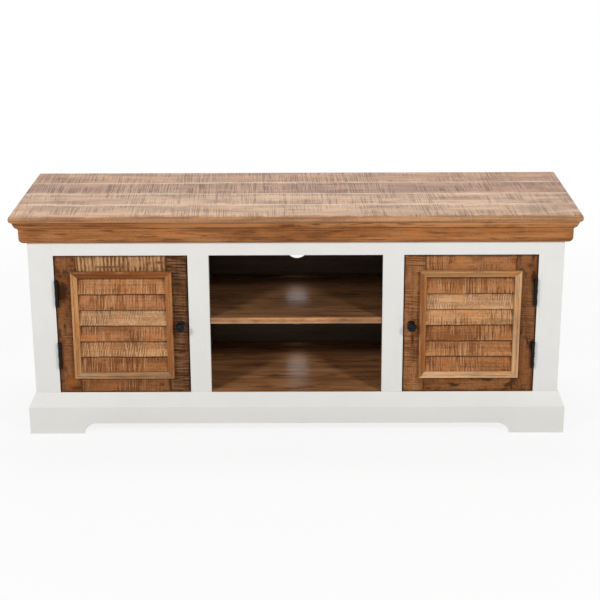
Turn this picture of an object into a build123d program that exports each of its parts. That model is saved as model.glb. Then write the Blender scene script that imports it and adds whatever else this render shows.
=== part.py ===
from build123d import *
import os
from math import cos, radians, sin

# TV stand: an open bay with one shelf between two louvred doors, on a plinth with bracket feet.
# Front is -Y, right is +X, up is +Z. The origin is on the floor, under the middle of the top.
# Sizes are in millimetres and angles in degrees.

# Outline
OVERALL_WIDTH = 1400.0
OVERALL_DEPTH = 450.0
OVERALL_HEIGHT = 580.0

# Top: full-length boards, overhanging at the front and both ends
TOP_THICKNESS = 18.0
TOP_OVERHANG = 36.0
TOP_EDGE_RADIUS = 6.0
TOP_BOARD_COUNT = 4
TOP_JOINT_EASING = 0.8

# Cornice under the top: quarter round, flat fascia, cove, quirk and crown
CORNICE_HEIGHT = 58.0
CORNICE_PROJECTION = 28.5
CORNICE_FASCIA_PROJECTION = 16.5
CORNICE_ROUND_RADIUS = 15.5
CORNICE_COVE_HEIGHT = 9.0
CORNICE_COVE_PROJECTION = 21.0
CORNICE_COVE_HOLLOW = 1.5
CORNICE_QUIRK = 1.2
CORNICE_CROWN_HEIGHT = 15.5
CORNICE_CROWN_BULGE = 0.5
CORNICE_CROWN_BAND = 1.5

# Face frame and case
FRAME_THICKNESS = 20.0
OUTER_STILE_WIDTH = 62.0
MID_STILE_WIDTH = 52.0
TOP_RAIL_HEIGHT = 91.5
CENTRE_OPENING_WIDTH = 433.0
FLOOR_HEIGHT = 107.0
PANEL_THICKNESS = 18.0
BACK_THICKNESS = 6.0
BACK_INSET = 32.0
BACK_RABBET_LIP = 9.0
BACK_RAIL_HEIGHT = 60.0
SHELF_THICKNESS = 16.0
SHELF_TOP_HEIGHT = 305.0
SHELF_SETBACK = 4.5
SHELF_EDGE_RADIUS = 2.0
CABLE_HOLE_DIAMETER = 60.0
SHELF_CABLE_HOLE_RISE = 73.0
FLOOR_CABLE_HOLE_RISE = 80.0

# Joinery
TENON_LENGTH = 20.0
TENON_THICKNESS = 8.0
TENON_SHOULDER = 8.0
HOUSING_DEPTH = 6.0
JOINT_CLEARANCE = 0.15

# Plinth with bracket feet
PLINTH_HEIGHT = 107.0
PLINTH_FACE_HEIGHT = 72.0
PLINTH_PROJECTION = 18.0
PLINTH_LIP = 1.5
FOOT_RISE = 28.0
FOOT_LENGTH = 138.0
SIDE_FOOT_LENGTH = 120.0
FOOT_CURVE_RUN = 28.0
FOOT_CURVE_BULGE = 6.0
CORNER_BLOCK_WIDTH = 45.0

# Doors
DOOR_GAP = 2.5
DOOR_FOOT_GAP = 1.5
DOOR_THICKNESS = 20.0
DOOR_STILE_WIDTH = 52.0
DOOR_RAIL_HEIGHT = 52.0

# Louvre: sloped slats behind a mitred moulding
SLAT_COUNT = 6
SLAT_WIDTH = 47.0
SLAT_THICKNESS = 7.0
SLAT_TILT = 18.0
SLAT_EDGE_RADIUS = 1.2
SLAT_PROUD = 5.0
SLAT_HOUSING_DEPTH = 6.0
SLAT_CLEARANCE = 0.3
MOULDING_WIDTH = 16.5
MOULDING_THICKNESS = 11.0
MOULDING_LAP = 2.5
MOULDING_BEAD_WIDTH = 6.5
MOULDING_BEAD_RADIUS = 2.5
MOULDING_QUIRK = 1.2
MOULDING_EDGE_THICKNESS = 6.0

# Butt hinges, two per door
HINGE_HEIGHT = 68.0
HINGE_TOP_INSET = 95.0
HINGE_FOOT_INSET = 99.0
HINGE_LEAF_WIDTH = 18.0
HINGE_LEAF_THICKNESS = 1.8
HINGE_LEAF_GAP = 1.2
KNUCKLE_RADIUS = 4.75
KNUCKLE_COUNT = 5
KNUCKLE_GAP = 0.4
KNUCKLE_FACE_GAP = 0.5
PIN_RADIUS = 2.4
PIN_CLEARANCE = 0.08
PIN_CAP_RADIUS = 3.8
PIN_CAP_HEIGHT = 1.4
HINGE_SCREWS_PER_LEAF = 3

# Knob
KNOB_EDGE_DISTANCE = 18.0
KNOB_HEAD_RADIUS = 12.0
KNOB_ROSE_RADIUS = 10.0
KNOB_ROSE_HEIGHT = 2.5
KNOB_NECK_RADIUS = 5.2
KNOB_NECK_HEIGHT = 12.0
KNOB_PROJECTION = 32.0
KNOB_BOLT_RADIUS = 2.0
KNOB_BOLT_HEAD_RADIUS = 4.0
KNOB_BOLT_HEAD_HEIGHT = 2.4
KNOB_BOLT_ENGAGEMENT = 9.0

# Magnetic catch, which is also the door stop, and its strike plate
CATCH_HEIGHT = 24.0
CATCH_DEPTH = 14.0
CATCH_BASE_WIDTH = 16.0
CATCH_REACH = 18.0
CATCH_DROP = 40.0
CATCH_EDGE_RADIUS = 1.5
STRIKE_WIDTH = 12.0
STRIKE_HEIGHT = 30.0
STRIKE_INSET = 3.0
STRIKE_THICKNESS = 1.2
STRIKE_GAP = 0.3

# Countersunk screws
SCREW_HEAD_RADIUS = 2.6
SCREW_HEAD_DEPTH = 1.4
SCREW_SHANK_RADIUS = 1.4
SCREW_POINT_LENGTH = 3.0
SCREW_LENGTH = 16.0
STRIKE_SCREW_LENGTH = 12.0
SCREW_CLEARANCE = 0.1

# Levels and planes that follow from the sizes above
half_top = OVERALL_WIDTH / 2
front_y = -OVERALL_DEPTH / 2
back_y = OVERALL_DEPTH / 2
half_case = half_top - TOP_OVERHANG
face_y = front_y + TOP_OVERHANG
frame_back_y = face_y + FRAME_THICKNESS
back_panel_y = back_y - BACK_INSET - BACK_THICKNESS
case_top_z = OVERALL_HEIGHT - TOP_THICKNESS
opening_top_z = case_top_z - TOP_RAIL_HEIGHT
floor_under_z = FLOOR_HEIGHT - PANEL_THICKNESS
shelf_under_z = SHELF_TOP_HEIGHT - SHELF_THICKNESS
bay_x = CENTRE_OPENING_WIDTH / 2
mid_stile_x = bay_x + MID_STILE_WIDTH
partition_inner_x = bay_x + (MID_STILE_WIDTH - PANEL_THICKNESS) / 2
jamb_x = half_case - OUTER_STILE_WIDTH
side_inner_x = half_case - PANEL_THICKNESS

# The right-hand door in its opening; the left-hand one is its mirror image
door_x = (mid_stile_x + DOOR_GAP, jamb_x - HINGE_LEAF_THICKNESS - HINGE_LEAF_GAP)
door_y = (face_y, face_y + DOOR_THICKNESS)
door_z = (FLOOR_HEIGHT + DOOR_FOOT_GAP, opening_top_z - DOOR_GAP)
louvre_x = (door_x[0] + DOOR_STILE_WIDTH, door_x[1] - DOOR_STILE_WIDTH)
louvre_z = (door_z[0] + DOOR_RAIL_HEIGHT, door_z[1] - DOOR_RAIL_HEIGHT)
sight_x = (louvre_x[0] + MOULDING_LAP, louvre_x[1] - MOULDING_LAP)
sight_z = (louvre_z[0] + MOULDING_LAP, louvre_z[1] - MOULDING_LAP)
knob_x = door_x[0] + KNOB_EDGE_DISTANCE
knob_z = sum(door_z) / 2
catch_z = door_z[1] - CATCH_DROP
strike_x = (door_x[0] + STRIKE_INSET, door_x[0] + STRIKE_INSET + STRIKE_WIDTH)
hinge_x = jamb_x - KNUCKLE_RADIUS - KNUCKLE_FACE_GAP
hinge_y = face_y - KNUCKLE_RADIUS - KNUCKLE_FACE_GAP
hinge_centres_z = (door_z[0] + HINGE_FOOT_INSET, door_z[1] - HINGE_TOP_INSET)


def board(x, y, z):
    """Square-edged board between a low and a high limit on each axis."""
    size = (x[1] - x[0], y[1] - y[0], z[1] - z[0])
    return Pos(sum(x) / 2, sum(y) / 2, sum(z) / 2) * Box(*size)


def grown(limits, by):
    """A low and a high limit, each moved outwards."""
    return (limits[0] - by, limits[1] + by)


def socket(x, y, z):
    """Room for a board of these limits, with the joint clearance all round."""
    return board(grown(x, JOINT_CLEARANCE), grown(y, JOINT_CLEARANCE), grown(z, JOINT_CLEARANCE))


def mirrored(shape):
    """The same piece on the other side of the cabinet."""
    return mirror(shape, about=Plane.YZ)


def prism(plane, outline, amount, both=False):
    """Outline drawn in a plane and extruded along the plane's normal."""
    return extrude(plane * make_face(outline), amount=amount, both=both)


def tenon_y(y):
    """Limits of a tenon in the middle of a board's thickness."""
    middle = sum(y) / 2
    return (middle - TENON_THICKNESS / 2, middle + TENON_THICKNESS / 2)


def countersunk_screw(length, grow=0.0):
    """Screw along +Z with its head face at the origin; grow makes the hole for it."""
    outline = Polyline(
        (0, 0),
        (SCREW_HEAD_RADIUS + grow, 0),
        (SCREW_SHANK_RADIUS + grow, SCREW_HEAD_DEPTH),
        (SCREW_SHANK_RADIUS + grow, length - SCREW_POINT_LENGTH + grow),
        (0, length + grow),
        close=True,
    )
    return revolve(Plane.XZ * make_face(outline), axis=Axis.Z)


def pointing(origin, direction, shape):
    """Move a shape made along +Z to a point and turn it along a direction."""
    return Plane(origin=origin, z_dir=direction) * shape


def screws_at(points, direction, length, grow=0.0):
    """One screw at each place, all along one direction; grow makes the holes for them."""
    return [pointing(point, direction, countersunk_screw(length, grow)) for point in points]


# Top


def make_top_boards():
    """Four boards, glued edge to edge, with a rounded nose at the front and both ends."""
    slab = board((-half_top, half_top), (front_y, back_y), (case_top_z, OVERALL_HEIGHT))
    middle_z = case_top_z + TOP_THICKNESS / 2
    nose = [
        edge
        for edge in slab.edges()
        if edge.center().Y < back_y - TOP_EDGE_RADIUS
        and abs(edge.center().Z - middle_z) > TOP_THICKNESS / 4
    ]
    slab = fillet(nose, min(TOP_EDGE_RADIUS, TOP_THICKNESS * 0.45))
    width = OVERALL_DEPTH / TOP_BOARD_COUNT
    easing = TOP_JOINT_EASING * 2**0.5
    boards = []
    for index in range(TOP_BOARD_COUNT):
        limits = (front_y + index * width, front_y + (index + 1) * width)
        strip = slab & board(
            (-OVERALL_WIDTH, OVERALL_WIDTH), limits, grown((case_top_z, OVERALL_HEIGHT), TOP_THICKNESS)
        )
        for joint_y in limits:
            if front_y < joint_y < back_y:
                groove = Box(2 * OVERALL_WIDTH, easing, easing, rotation=(45, 0, 0))
                strip -= Pos(0, joint_y, OVERALL_HEIGHT) * groove
        boards.append(strip)
    return boards


# Mitred runs along the front and both sides of the case


def front_run(outline, projection):
    """Length along the front, mitred at both ends; the outline is (projection, height)."""
    plane = Plane(origin=(0, face_y, 0), x_dir=(0, -1, 0), z_dir=(-1, 0, 0))
    plan = Polyline(
        (-half_case, face_y),
        (half_case, face_y),
        (half_case + projection, face_y - projection),
        (-half_case - projection, face_y - projection),
        close=True,
    )
    return prism(plane, outline, OVERALL_WIDTH, both=True) & prism(Plane.XY, plan, OVERALL_HEIGHT)


def side_run(outline, projection):
    """Length along the right-hand side, mitred at the front and square at the back."""
    plane = Plane(origin=(half_case, 0, 0), x_dir=(1, 0, 0), z_dir=(0, -1, 0))
    plan = Polyline(
        (half_case, face_y),
        (half_case + projection, face_y - projection),
        (half_case + projection, back_y),
        (half_case, back_y),
        close=True,
    )
    return prism(plane, outline, OVERALL_DEPTH, both=True) & prism(Plane.XY, plan, OVERALL_HEIGHT)


def cornice_outline():
    """Section of the cornice, from its lower edge on the case to the underside of the top."""
    bottom = case_top_z - CORNICE_HEIGHT
    quirk = case_top_z - CORNICE_CROWN_HEIGHT
    round_start = (CORNICE_FASCIA_PROJECTION - CORNICE_ROUND_RADIUS, bottom)
    fascia_low = (CORNICE_FASCIA_PROJECTION, bottom + CORNICE_ROUND_RADIUS)
    fascia_high = (CORNICE_FASCIA_PROJECTION, quirk - CORNICE_COVE_HEIGHT)
    cove_top = (CORNICE_COVE_PROJECTION, quirk)
    crown_low = (CORNICE_COVE_PROJECTION + CORNICE_QUIRK, quirk)
    crown_high = (CORNICE_PROJECTION, case_top_z - CORNICE_CROWN_BAND)
    return [
        Polyline((0, case_top_z), (0, bottom), round_start),
        CenterArc((round_start[0], fascia_low[1]), CORNICE_ROUND_RADIUS, -90, 90),
        Line(fascia_low, fascia_high),
        SagittaArc(fascia_high, cove_top, CORNICE_COVE_HOLLOW),
        Line(cove_top, crown_low),
        SagittaArc(crown_low, crown_high, -CORNICE_CROWN_BULGE),
        Polyline(crown_high, (CORNICE_PROJECTION, case_top_z), (0, case_top_z)),
    ]


def plinth_outline():
    """Section of the plinth: an upright face under a long bevel."""
    return Polyline(
        (0, 0),
        (PLINTH_PROJECTION, 0),
        (PLINTH_PROJECTION, PLINTH_FACE_HEIGHT),
        (PLINTH_LIP, PLINTH_HEIGHT),
        (0, PLINTH_HEIGHT),
        close=True,
    )


def foot_gap_outline(start, end):
    """Cut-out between two feet along a level axis, with rounded upper corners."""
    low = -FOOT_RISE
    left_top = (start + FOOT_CURVE_RUN, FOOT_RISE)
    right_top = (end - FOOT_CURVE_RUN, FOOT_RISE)
    return [
        Polyline((end, 0), (end, low), (start, low), (start, 0)),
        SagittaArc((start, 0), left_top, FOOT_CURVE_BULGE),
        Line(left_top, right_top),
        SagittaArc(right_top, (end, 0), FOOT_CURVE_BULGE),
    ]


def make_foot_gaps():
    """Room under the plinth: right through from front to back, and from side to side."""
    half_gap = half_case + PLINTH_PROJECTION - FOOT_LENGTH
    side_start = face_y - PLINTH_PROJECTION + SIDE_FOOT_LENGTH
    side_end = back_y - SIDE_FOOT_LENGTH
    through_front = prism(Plane.XZ, foot_gap_outline(-half_gap, half_gap), OVERALL_DEPTH, both=True)
    through_side = prism(Plane.YZ, foot_gap_outline(side_start, side_end), OVERALL_WIDTH, both=True)
    return through_front, through_side


def make_plinth():
    """Front and right-hand plinth lengths with their cut-outs, and the four corner blocks."""
    through_front, through_side = make_foot_gaps()
    front = front_run(plinth_outline(), PLINTH_PROJECTION) - through_front
    side = side_run(plinth_outline(), PLINTH_PROJECTION) - through_side
    case_x = (-half_case, half_case)
    case_y = (face_y, back_y)
    ring = board(case_x, case_y, (0, FOOT_RISE)) - board(
        grown(case_x, -CORNER_BLOCK_WIDTH),
        grown(case_y, -CORNER_BLOCK_WIDTH),
        (-FOOT_RISE, 2 * FOOT_RISE),
    )
    blocks = ring - through_front - through_side
    return front, side, blocks


# Face frame and case


def make_face_frame():
    """Right-hand outer stile and mid stile, top rail and bottom rail, joined by stub tenons."""
    thickness = (face_y, frame_back_y)
    tongue = tenon_y(thickness)
    top_z = (opening_top_z, case_top_z)
    bottom_z = (FOOT_RISE, floor_under_z)
    end_x = (jamb_x, jamb_x + TENON_LENGTH)
    outer = board((jamb_x, half_case), thickness, (FOOT_RISE, case_top_z))
    rails = []
    for limits in (top_z, bottom_z):
        tenon_z = grown(limits, -TENON_SHOULDER)
        rail = board((-jamb_x, jamb_x), thickness, limits)
        tenon = board(end_x, tongue, tenon_z)
        rails.append(rail + tenon + mirrored(tenon))
        outer -= socket(end_x, tongue, tenon_z)
    for hole in screws_at(frame_leaf_screw_points(), (1, 0, 0), SCREW_LENGTH, SCREW_CLEARANCE):
        outer -= hole
    tenon_x = grown((bay_x, mid_stile_x), -TENON_SHOULDER)
    foot_z = (FLOOR_HEIGHT - HOUSING_DEPTH, FLOOR_HEIGHT)
    head_z = (opening_top_z, opening_top_z + TENON_LENGTH)
    mid = board((bay_x, mid_stile_x), thickness, (FLOOR_HEIGHT, opening_top_z))
    mid += board(tenon_x, tongue, foot_z)
    mid += board(tenon_x, tongue, head_z)
    for hole in screws_at(catch_screw_points(), (0, -1, 0), catch_screw_length, SCREW_CLEARANCE):
        mid -= hole
    head_socket = socket(tenon_x, tongue, head_z)
    foot_socket = socket(tenon_x, tongue, foot_z)
    top_rail = rails[0] - head_socket - mirrored(head_socket)
    return outer, mid, top_rail, rails[1], foot_socket


def make_case(foot_socket):
    """Right-hand side panel and partition, bottom panel, back panel, back rail and shelf."""
    case_y = (frame_back_y, back_panel_y)
    floor_z = (floor_under_z, FLOOR_HEIGHT)
    shelf_z = (shelf_under_z, SHELF_TOP_HEIGHT)
    rail_y = (back_panel_y - PANEL_THICKNESS, back_panel_y)
    rail_z = (case_top_z - BACK_RAIL_HEIGHT, case_top_z)
    back_x = half_case - BACK_RABBET_LIP
    floor_x = (-side_inner_x - HOUSING_DEPTH, side_inner_x + HOUSING_DEPTH)
    shelf_end_x = partition_inner_x + HOUSING_DEPTH
    shelf_x = (-shelf_end_x, shelf_end_x)
    partition_limits = (partition_inner_x, partition_inner_x + PANEL_THICKNESS)

    side = board((side_inner_x, half_case), (frame_back_y, back_y), (FOOT_RISE, case_top_z))
    rabbet_x = (side_inner_x - PANEL_THICKNESS, back_x)
    side -= socket(rabbet_x, (back_panel_y, 2 * back_y), (0, OVERALL_HEIGHT))
    side -= socket(floor_x, case_y, floor_z)

    partition = board(partition_limits, case_y, (FLOOR_HEIGHT - HOUSING_DEPTH, case_top_z))
    partition -= socket((-half_case, half_case), rail_y, rail_z)
    partition -= socket(shelf_x, case_y, shelf_z)

    bottom = board(floor_x, case_y, floor_z)
    bottom += board((-jamb_x, jamb_x), (face_y, frame_back_y), floor_z)
    housing = socket(partition_limits, case_y, (FLOOR_HEIGHT - HOUSING_DEPTH, 2 * FLOOR_HEIGHT))
    for cut in (housing, foot_socket):
        bottom -= cut
        bottom -= mirrored(cut)

    back_limits = (back_panel_y, back_panel_y + BACK_THICKNESS)
    back = board((-back_x, back_x), back_limits, (FOOT_RISE, case_top_z))
    hole = Cylinder(CABLE_HOLE_DIAMETER / 2, 4 * BACK_THICKNESS, rotation=(90, 0, 0))
    for hole_z in (FLOOR_HEIGHT + FLOOR_CABLE_HOLE_RISE, SHELF_TOP_HEIGHT + SHELF_CABLE_HOLE_RISE):
        back -= Pos(0, sum(back_limits) / 2, hole_z) * hole

    rail = board((-side_inner_x, side_inner_x), rail_y, rail_z)

    shelf_front_y = face_y + SHELF_SETBACK
    nose = board(grown((-bay_x, bay_x), -JOINT_CLEARANCE), (shelf_front_y, case_y[1]), shelf_z)
    front_edges = nose.edges().filter_by(Axis.X).group_by(Axis.Y)[0]
    nose = fillet(front_edges, SHELF_EDGE_RADIUS)
    shelf = nose + board(shelf_x, case_y, shelf_z)
    return side, partition, bottom, back, rail, shelf


# Hinges


def knuckle_spans(centre_z):
    """Low and high end of each knuckle, from the bottom up."""
    pitch = HINGE_HEIGHT / KNUCKLE_COUNT
    low = centre_z - HINGE_HEIGHT / 2
    return [grown((low + i * pitch, low + (i + 1) * pitch), -KNUCKLE_GAP / 2) for i in range(KNUCKLE_COUNT)]


def leaf_limits(centre_z):
    """Depth and height of a leaf's flat plate, behind the barrel."""
    plate_y = (hinge_y + KNUCKLE_RADIUS + KNUCKLE_FACE_GAP, face_y + HINGE_LEAF_WIDTH)
    return plate_y, (centre_z - HINGE_HEIGHT / 2, centre_z + HINGE_HEIGHT / 2)


def leaf_screw_points(face_x):
    """Screw places on the leaves' faces, spread over each plate."""
    points = []
    for centre_z in hinge_centres_z:
        plate_y, plate_z = leaf_limits(centre_z)
        step = HINGE_HEIGHT / HINGE_SCREWS_PER_LEAF
        for index in range(HINGE_SCREWS_PER_LEAF):
            points.append((face_x, sum(plate_y) / 2, plate_z[0] + (index + 0.5) * step))
    return points


def frame_leaf_screw_points():
    """Screw places on the leaves that are fixed to the face frame."""
    return leaf_screw_points(jamb_x - HINGE_LEAF_THICKNESS)


def door_leaf_screw_points():
    """Screw places on the leaves that are let into the door."""
    return leaf_screw_points(door_x[1])


def make_hinge_leaf(centre_z, plate_x, first_knuckle, screw_points, screw_direction):
    """Flat plate whose every other knuckle, from the first one given, wraps the pin."""
    plate_y, plate_z = leaf_limits(centre_z)
    leaf = board(plate_x, plate_y, plate_z)
    for span in knuckle_spans(centre_z)[first_knuckle::2]:
        barrel = Cylinder(KNUCKLE_RADIUS, span[1] - span[0])
        leaf += board(plate_x, (hinge_y, plate_y[0]), span)
        leaf += Pos(hinge_x, hinge_y, sum(span) / 2) * barrel
    leaf -= Pos(hinge_x, hinge_y, centre_z) * Cylinder(PIN_RADIUS + PIN_CLEARANCE, 2 * HINGE_HEIGHT)
    own_points = [point for point in screw_points if plate_z[0] < point[2] < plate_z[1]]
    for hole in screws_at(own_points, screw_direction, SCREW_LENGTH, SCREW_CLEARANCE):
        leaf -= hole
    return leaf


def make_hinges():
    """Frame leaves, door leaves and capped pins of the right-hand door's two hinges."""
    frame_plate_x = (jamb_x - HINGE_LEAF_THICKNESS, jamb_x)
    door_plate_x = (door_x[1] - HINGE_LEAF_THICKNESS, door_x[1])
    frame_leaves = []
    door_leaves = []
    pins = []
    for centre_z in hinge_centres_z:
        frame_leaves.append(
            make_hinge_leaf(centre_z, frame_plate_x, 0, frame_leaf_screw_points(), (1, 0, 0))
        )
        door_leaves.append(
            make_hinge_leaf(centre_z, door_plate_x, 1, door_leaf_screw_points(), (-1, 0, 0))
        )
        pin = Cylinder(PIN_RADIUS, HINGE_HEIGHT)
        for end in (-1, 1):
            cap = Cylinder(PIN_CAP_RADIUS, PIN_CAP_HEIGHT)
            rim = cap.edges().group_by(Axis.Z)[-1 if end > 0 else 0]
            cap = fillet(rim, PIN_CAP_HEIGHT / 2)
            pin += Pos(0, 0, end * (HINGE_HEIGHT + PIN_CAP_HEIGHT) / 2) * cap
        pins.append(Pos(hinge_x, hinge_y, centre_z) * pin)
    return frame_leaves, door_leaves, pins


# Magnetic catch

catch_y = (frame_back_y, frame_back_y + CATCH_DEPTH)
catch_base_x = (mid_stile_x - CATCH_BASE_WIDTH, mid_stile_x)
catch_screw_length = CATCH_DEPTH + FRAME_THICKNESS / 2


def catch_screw_points():
    """Two screws through the catch's base into the back of the mid stile."""
    quarter = CATCH_HEIGHT / 4
    middle = sum(catch_base_x) / 2
    return [(middle, catch_y[1], catch_z + side * quarter) for side in (-1, 1)]


def make_catch():
    """Block on the back of the mid stile, whose nose stops the door."""
    height = (catch_z - CATCH_HEIGHT / 2, catch_z + CATCH_HEIGHT / 2)
    nose_y = (door_y[1] + STRIKE_THICKNESS + STRIKE_GAP, catch_y[1])
    base = board(catch_base_x, catch_y, height)
    nose = board((mid_stile_x, mid_stile_x + CATCH_REACH), nose_y, height)
    catch = base + nose
    rear = catch.faces().sort_by(Axis.Y)[-1]
    catch = fillet(rear.edges(), CATCH_EDGE_RADIUS)
    for hole in screws_at(catch_screw_points(), (0, -1, 0), catch_screw_length, SCREW_CLEARANCE):
        catch -= hole
    return catch


# Doors


def slat_section(index, grow=0.0):
    """Sloped section of a slat: its lower edge stands forward, its upper edge lies back."""
    tilt = radians(SLAT_TILT)
    up = (sin(tilt), cos(tilt))
    back = (cos(tilt), -sin(tilt))
    tall = SLAT_WIDTH * up[1] - SLAT_THICKNESS * back[1]
    pitch = (louvre_z[1] - louvre_z[0] - 2 * SLAT_CLEARANCE - tall) / (SLAT_COUNT - 1)
    low_y = door_y[0] - SLAT_PROUD - grow * (up[0] + back[0])
    low_z = louvre_z[0] + SLAT_CLEARANCE - SLAT_THICKNESS * back[1] + index * pitch
    low_z -= grow * (up[1] + back[1])
    width = SLAT_WIDTH + 2 * grow
    thickness = SLAT_THICKNESS + 2 * grow
    corners = []
    for along, across in ((0, 0), (width, 0), (width, thickness), (0, thickness)):
        corners.append((low_y + along * up[0] + across * back[0], low_z + along * up[1] + across * back[1]))
    return make_face(Polyline(*corners, close=True))


def front_of_door_outside(x, z):
    """Everything in front of the door's face that lies outside a sight opening."""
    depth = (door_y[0] - OVERALL_DEPTH, door_y[0] + SLAT_CLEARANCE)
    around = board(grown(x, OVERALL_WIDTH), depth, grown(z, OVERALL_HEIGHT))
    return around - board(x, grown(depth, OVERALL_DEPTH), z)


def make_slats():
    """Slats with their ends housed in the stiles and notched where the moulding passes."""
    length = (louvre_x[0] - SLAT_HOUSING_DEPTH, louvre_x[1] + SLAT_HOUSING_DEPTH)
    clear_x = grown(sight_x, -SLAT_CLEARANCE)
    clear_z = grown(sight_z, -SLAT_CLEARANCE)
    clear_of_moulding = front_of_door_outside(clear_x, clear_z)
    slats = []
    for index in range(SLAT_COUNT):
        face = slat_section(index)
        face = fillet(face.vertices(), SLAT_EDGE_RADIUS)
        slat = extrude(Plane.YZ.offset(length[0]) * face, amount=length[1] - length[0])
        slats.append(slat - clear_of_moulding)
    return slats


def make_slat_grooves():
    """Slanted grooves that hold the slats' ends, for both stiles at once."""
    length = grown((louvre_x[0] - SLAT_HOUSING_DEPTH, louvre_x[1] + SLAT_HOUSING_DEPTH), JOINT_CLEARANCE)
    grooves = []
    for index in range(SLAT_COUNT):
        face = slat_section(index, JOINT_CLEARANCE)
        grooves.append(extrude(Plane.YZ.offset(length[0]) * face, amount=length[1] - length[0]))
    return grooves


def make_moulding():
    """Four mitred lengths planted on the door's face round the slats."""
    step_u = MOULDING_WIDTH - MOULDING_BEAD_WIDTH
    outline = Polyline(
        (0, 0),
        (MOULDING_WIDTH, 0),
        (MOULDING_WIDTH, MOULDING_THICKNESS),
        (step_u, MOULDING_THICKNESS),
        (step_u, MOULDING_THICKNESS - MOULDING_QUIRK),
        (0, MOULDING_EDGE_THICKNESS),
        close=True,
    )
    section = make_face(outline)
    outer_corner = section.vertices().sort_by(lambda vertex: vertex.X + vertex.Y)[-1]
    section = fillet(outer_corner, MOULDING_BEAD_RADIUS)
    outer_x = grown(sight_x, MOULDING_WIDTH)
    outer_z = grown(sight_z, MOULDING_WIDTH)
    inner_corners = [(sight_x[i], sight_z[j]) for i, j in ((0, 0), (1, 0), (1, 1), (0, 1))]
    outer_corners = [(outer_x[i], outer_z[j]) for i, j in ((0, 0), (1, 0), (1, 1), (0, 1))]
    outward = ((0, 0, -1), (1, 0, 0), (0, 0, 1), (-1, 0, 0))
    lengths = []
    for index, direction in enumerate(outward):
        following = (index + 1) % len(outward)
        start = inner_corners[index]
        along = Vector(*direction).cross(Vector(0, -1, 0))
        plane = Plane(origin=(start[0], door_y[0], start[1]), x_dir=direction, z_dir=along)
        run = extrude(plane * section, amount=OVERALL_HEIGHT, both=True)
        mitre = Polyline(
            start,
            inner_corners[following],
            outer_corners[following],
            outer_corners[index],
            close=True,
        )
        lengths.append(run & prism(Plane.XZ, mitre, OVERALL_DEPTH, both=True))
    return lengths


def make_knob():
    """Turned knob on the door's face: rose, neck and round head, with a blind hole for its bolt."""
    head_middle = KNOB_NECK_HEIGHT + (KNOB_PROJECTION - KNOB_NECK_HEIGHT) / 2
    shoulder = (KNOB_NECK_RADIUS, KNOB_NECK_HEIGHT)
    widest = (KNOB_HEAD_RADIUS, head_middle)
    nose = (0, KNOB_PROJECTION)
    rose_top = (KNOB_ROSE_RADIUS, KNOB_ROSE_HEIGHT)
    outline = [
        Polyline(nose, (0, 0), (KNOB_ROSE_RADIUS, 0), rose_top),
        Spline(rose_top, shoulder, tangents=((-1, 0), (0, 1))),
        Spline(shoulder, widest, tangents=((1, 0), (0, 1))),
        Spline(widest, nose, tangents=((0, 1), (-1, 0))),
    ]
    knob = revolve(Plane.XZ * make_face(outline), axis=Axis.Z)
    hole = Cylinder(KNOB_BOLT_RADIUS + SCREW_CLEARANCE, 2 * (KNOB_BOLT_ENGAGEMENT + SCREW_CLEARANCE))
    return pointing((knob_x, door_y[0], knob_z), (0, -1, 0), knob - hole)


def make_knob_bolt(grow=0.0):
    """Pan-head bolt from the back of the stile into the knob."""
    head = Cylinder(KNOB_BOLT_HEAD_RADIUS + grow, KNOB_BOLT_HEAD_HEIGHT)
    rim = head.edges().group_by(Axis.Z)[0]
    head = fillet(rim, KNOB_BOLT_HEAD_HEIGHT / 2)
    length = DOOR_THICKNESS + KNOB_BOLT_ENGAGEMENT
    shank = Pos(0, 0, length / 2) * Cylinder(KNOB_BOLT_RADIUS + grow, length)
    bolt = shank + Pos(0, 0, -KNOB_BOLT_HEAD_HEIGHT / 2) * head
    return pointing((knob_x, door_y[1], knob_z), (0, -1, 0), bolt)


def strike_screw_place():
    """Middle of the strike plate's free face."""
    return (sum(strike_x) / 2, door_y[1] + STRIKE_THICKNESS, catch_z)


def strike_screw(grow=0.0):
    """Screw that holds the strike plate on the back of the lock stile."""
    return pointing(strike_screw_place(), (0, -1, 0), countersunk_screw(STRIKE_SCREW_LENGTH, grow))


def make_strike_plate():
    """Steel plate on the back of the lock stile, opposite the catch."""
    height = (catch_z - STRIKE_HEIGHT / 2, catch_z + STRIKE_HEIGHT / 2)
    plate = board(strike_x, (door_y[1], door_y[1] + STRIKE_THICKNESS), height)
    return plate - strike_screw(SCREW_CLEARANCE)


def make_door_frame():
    """Hinge stile, lock stile, top rail and bottom rail of the right-hand door."""
    tongue = tenon_y(door_y)
    lock = board((door_x[0], louvre_x[0]), door_y, door_z)
    hinge = board((louvre_x[1], door_x[1]), door_y, door_z)
    rails = []
    for limits in ((louvre_z[1], door_z[1]), (door_z[0], louvre_z[0])):
        tenon_x = grown(louvre_x, TENON_LENGTH)
        tenon_z = grown(limits, -TENON_SHOULDER)
        rails.append(board(louvre_x, door_y, limits) + board(tenon_x, tongue, tenon_z))
        mortise = socket(tenon_x, tongue, tenon_z)
        lock -= mortise
        hinge -= mortise
    for groove in make_slat_grooves():
        lock -= groove
        hinge -= groove
    for centre_z in hinge_centres_z:
        plate_y, plate_z = leaf_limits(centre_z)
        recess_x = (door_x[1] - HINGE_LEAF_THICKNESS, door_x[1] + HINGE_LEAF_THICKNESS)
        hinge -= socket(recess_x, (hinge_y, plate_y[1]), plate_z)
    for hole in screws_at(door_leaf_screw_points(), (-1, 0, 0), SCREW_LENGTH, SCREW_CLEARANCE):
        hinge -= hole
    lock -= make_knob_bolt(SCREW_CLEARANCE)
    lock -= strike_screw(SCREW_CLEARANCE)
    return hinge, lock, rails[0], rails[1]


# Every node by name; a list is a group of separate pieces


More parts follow.
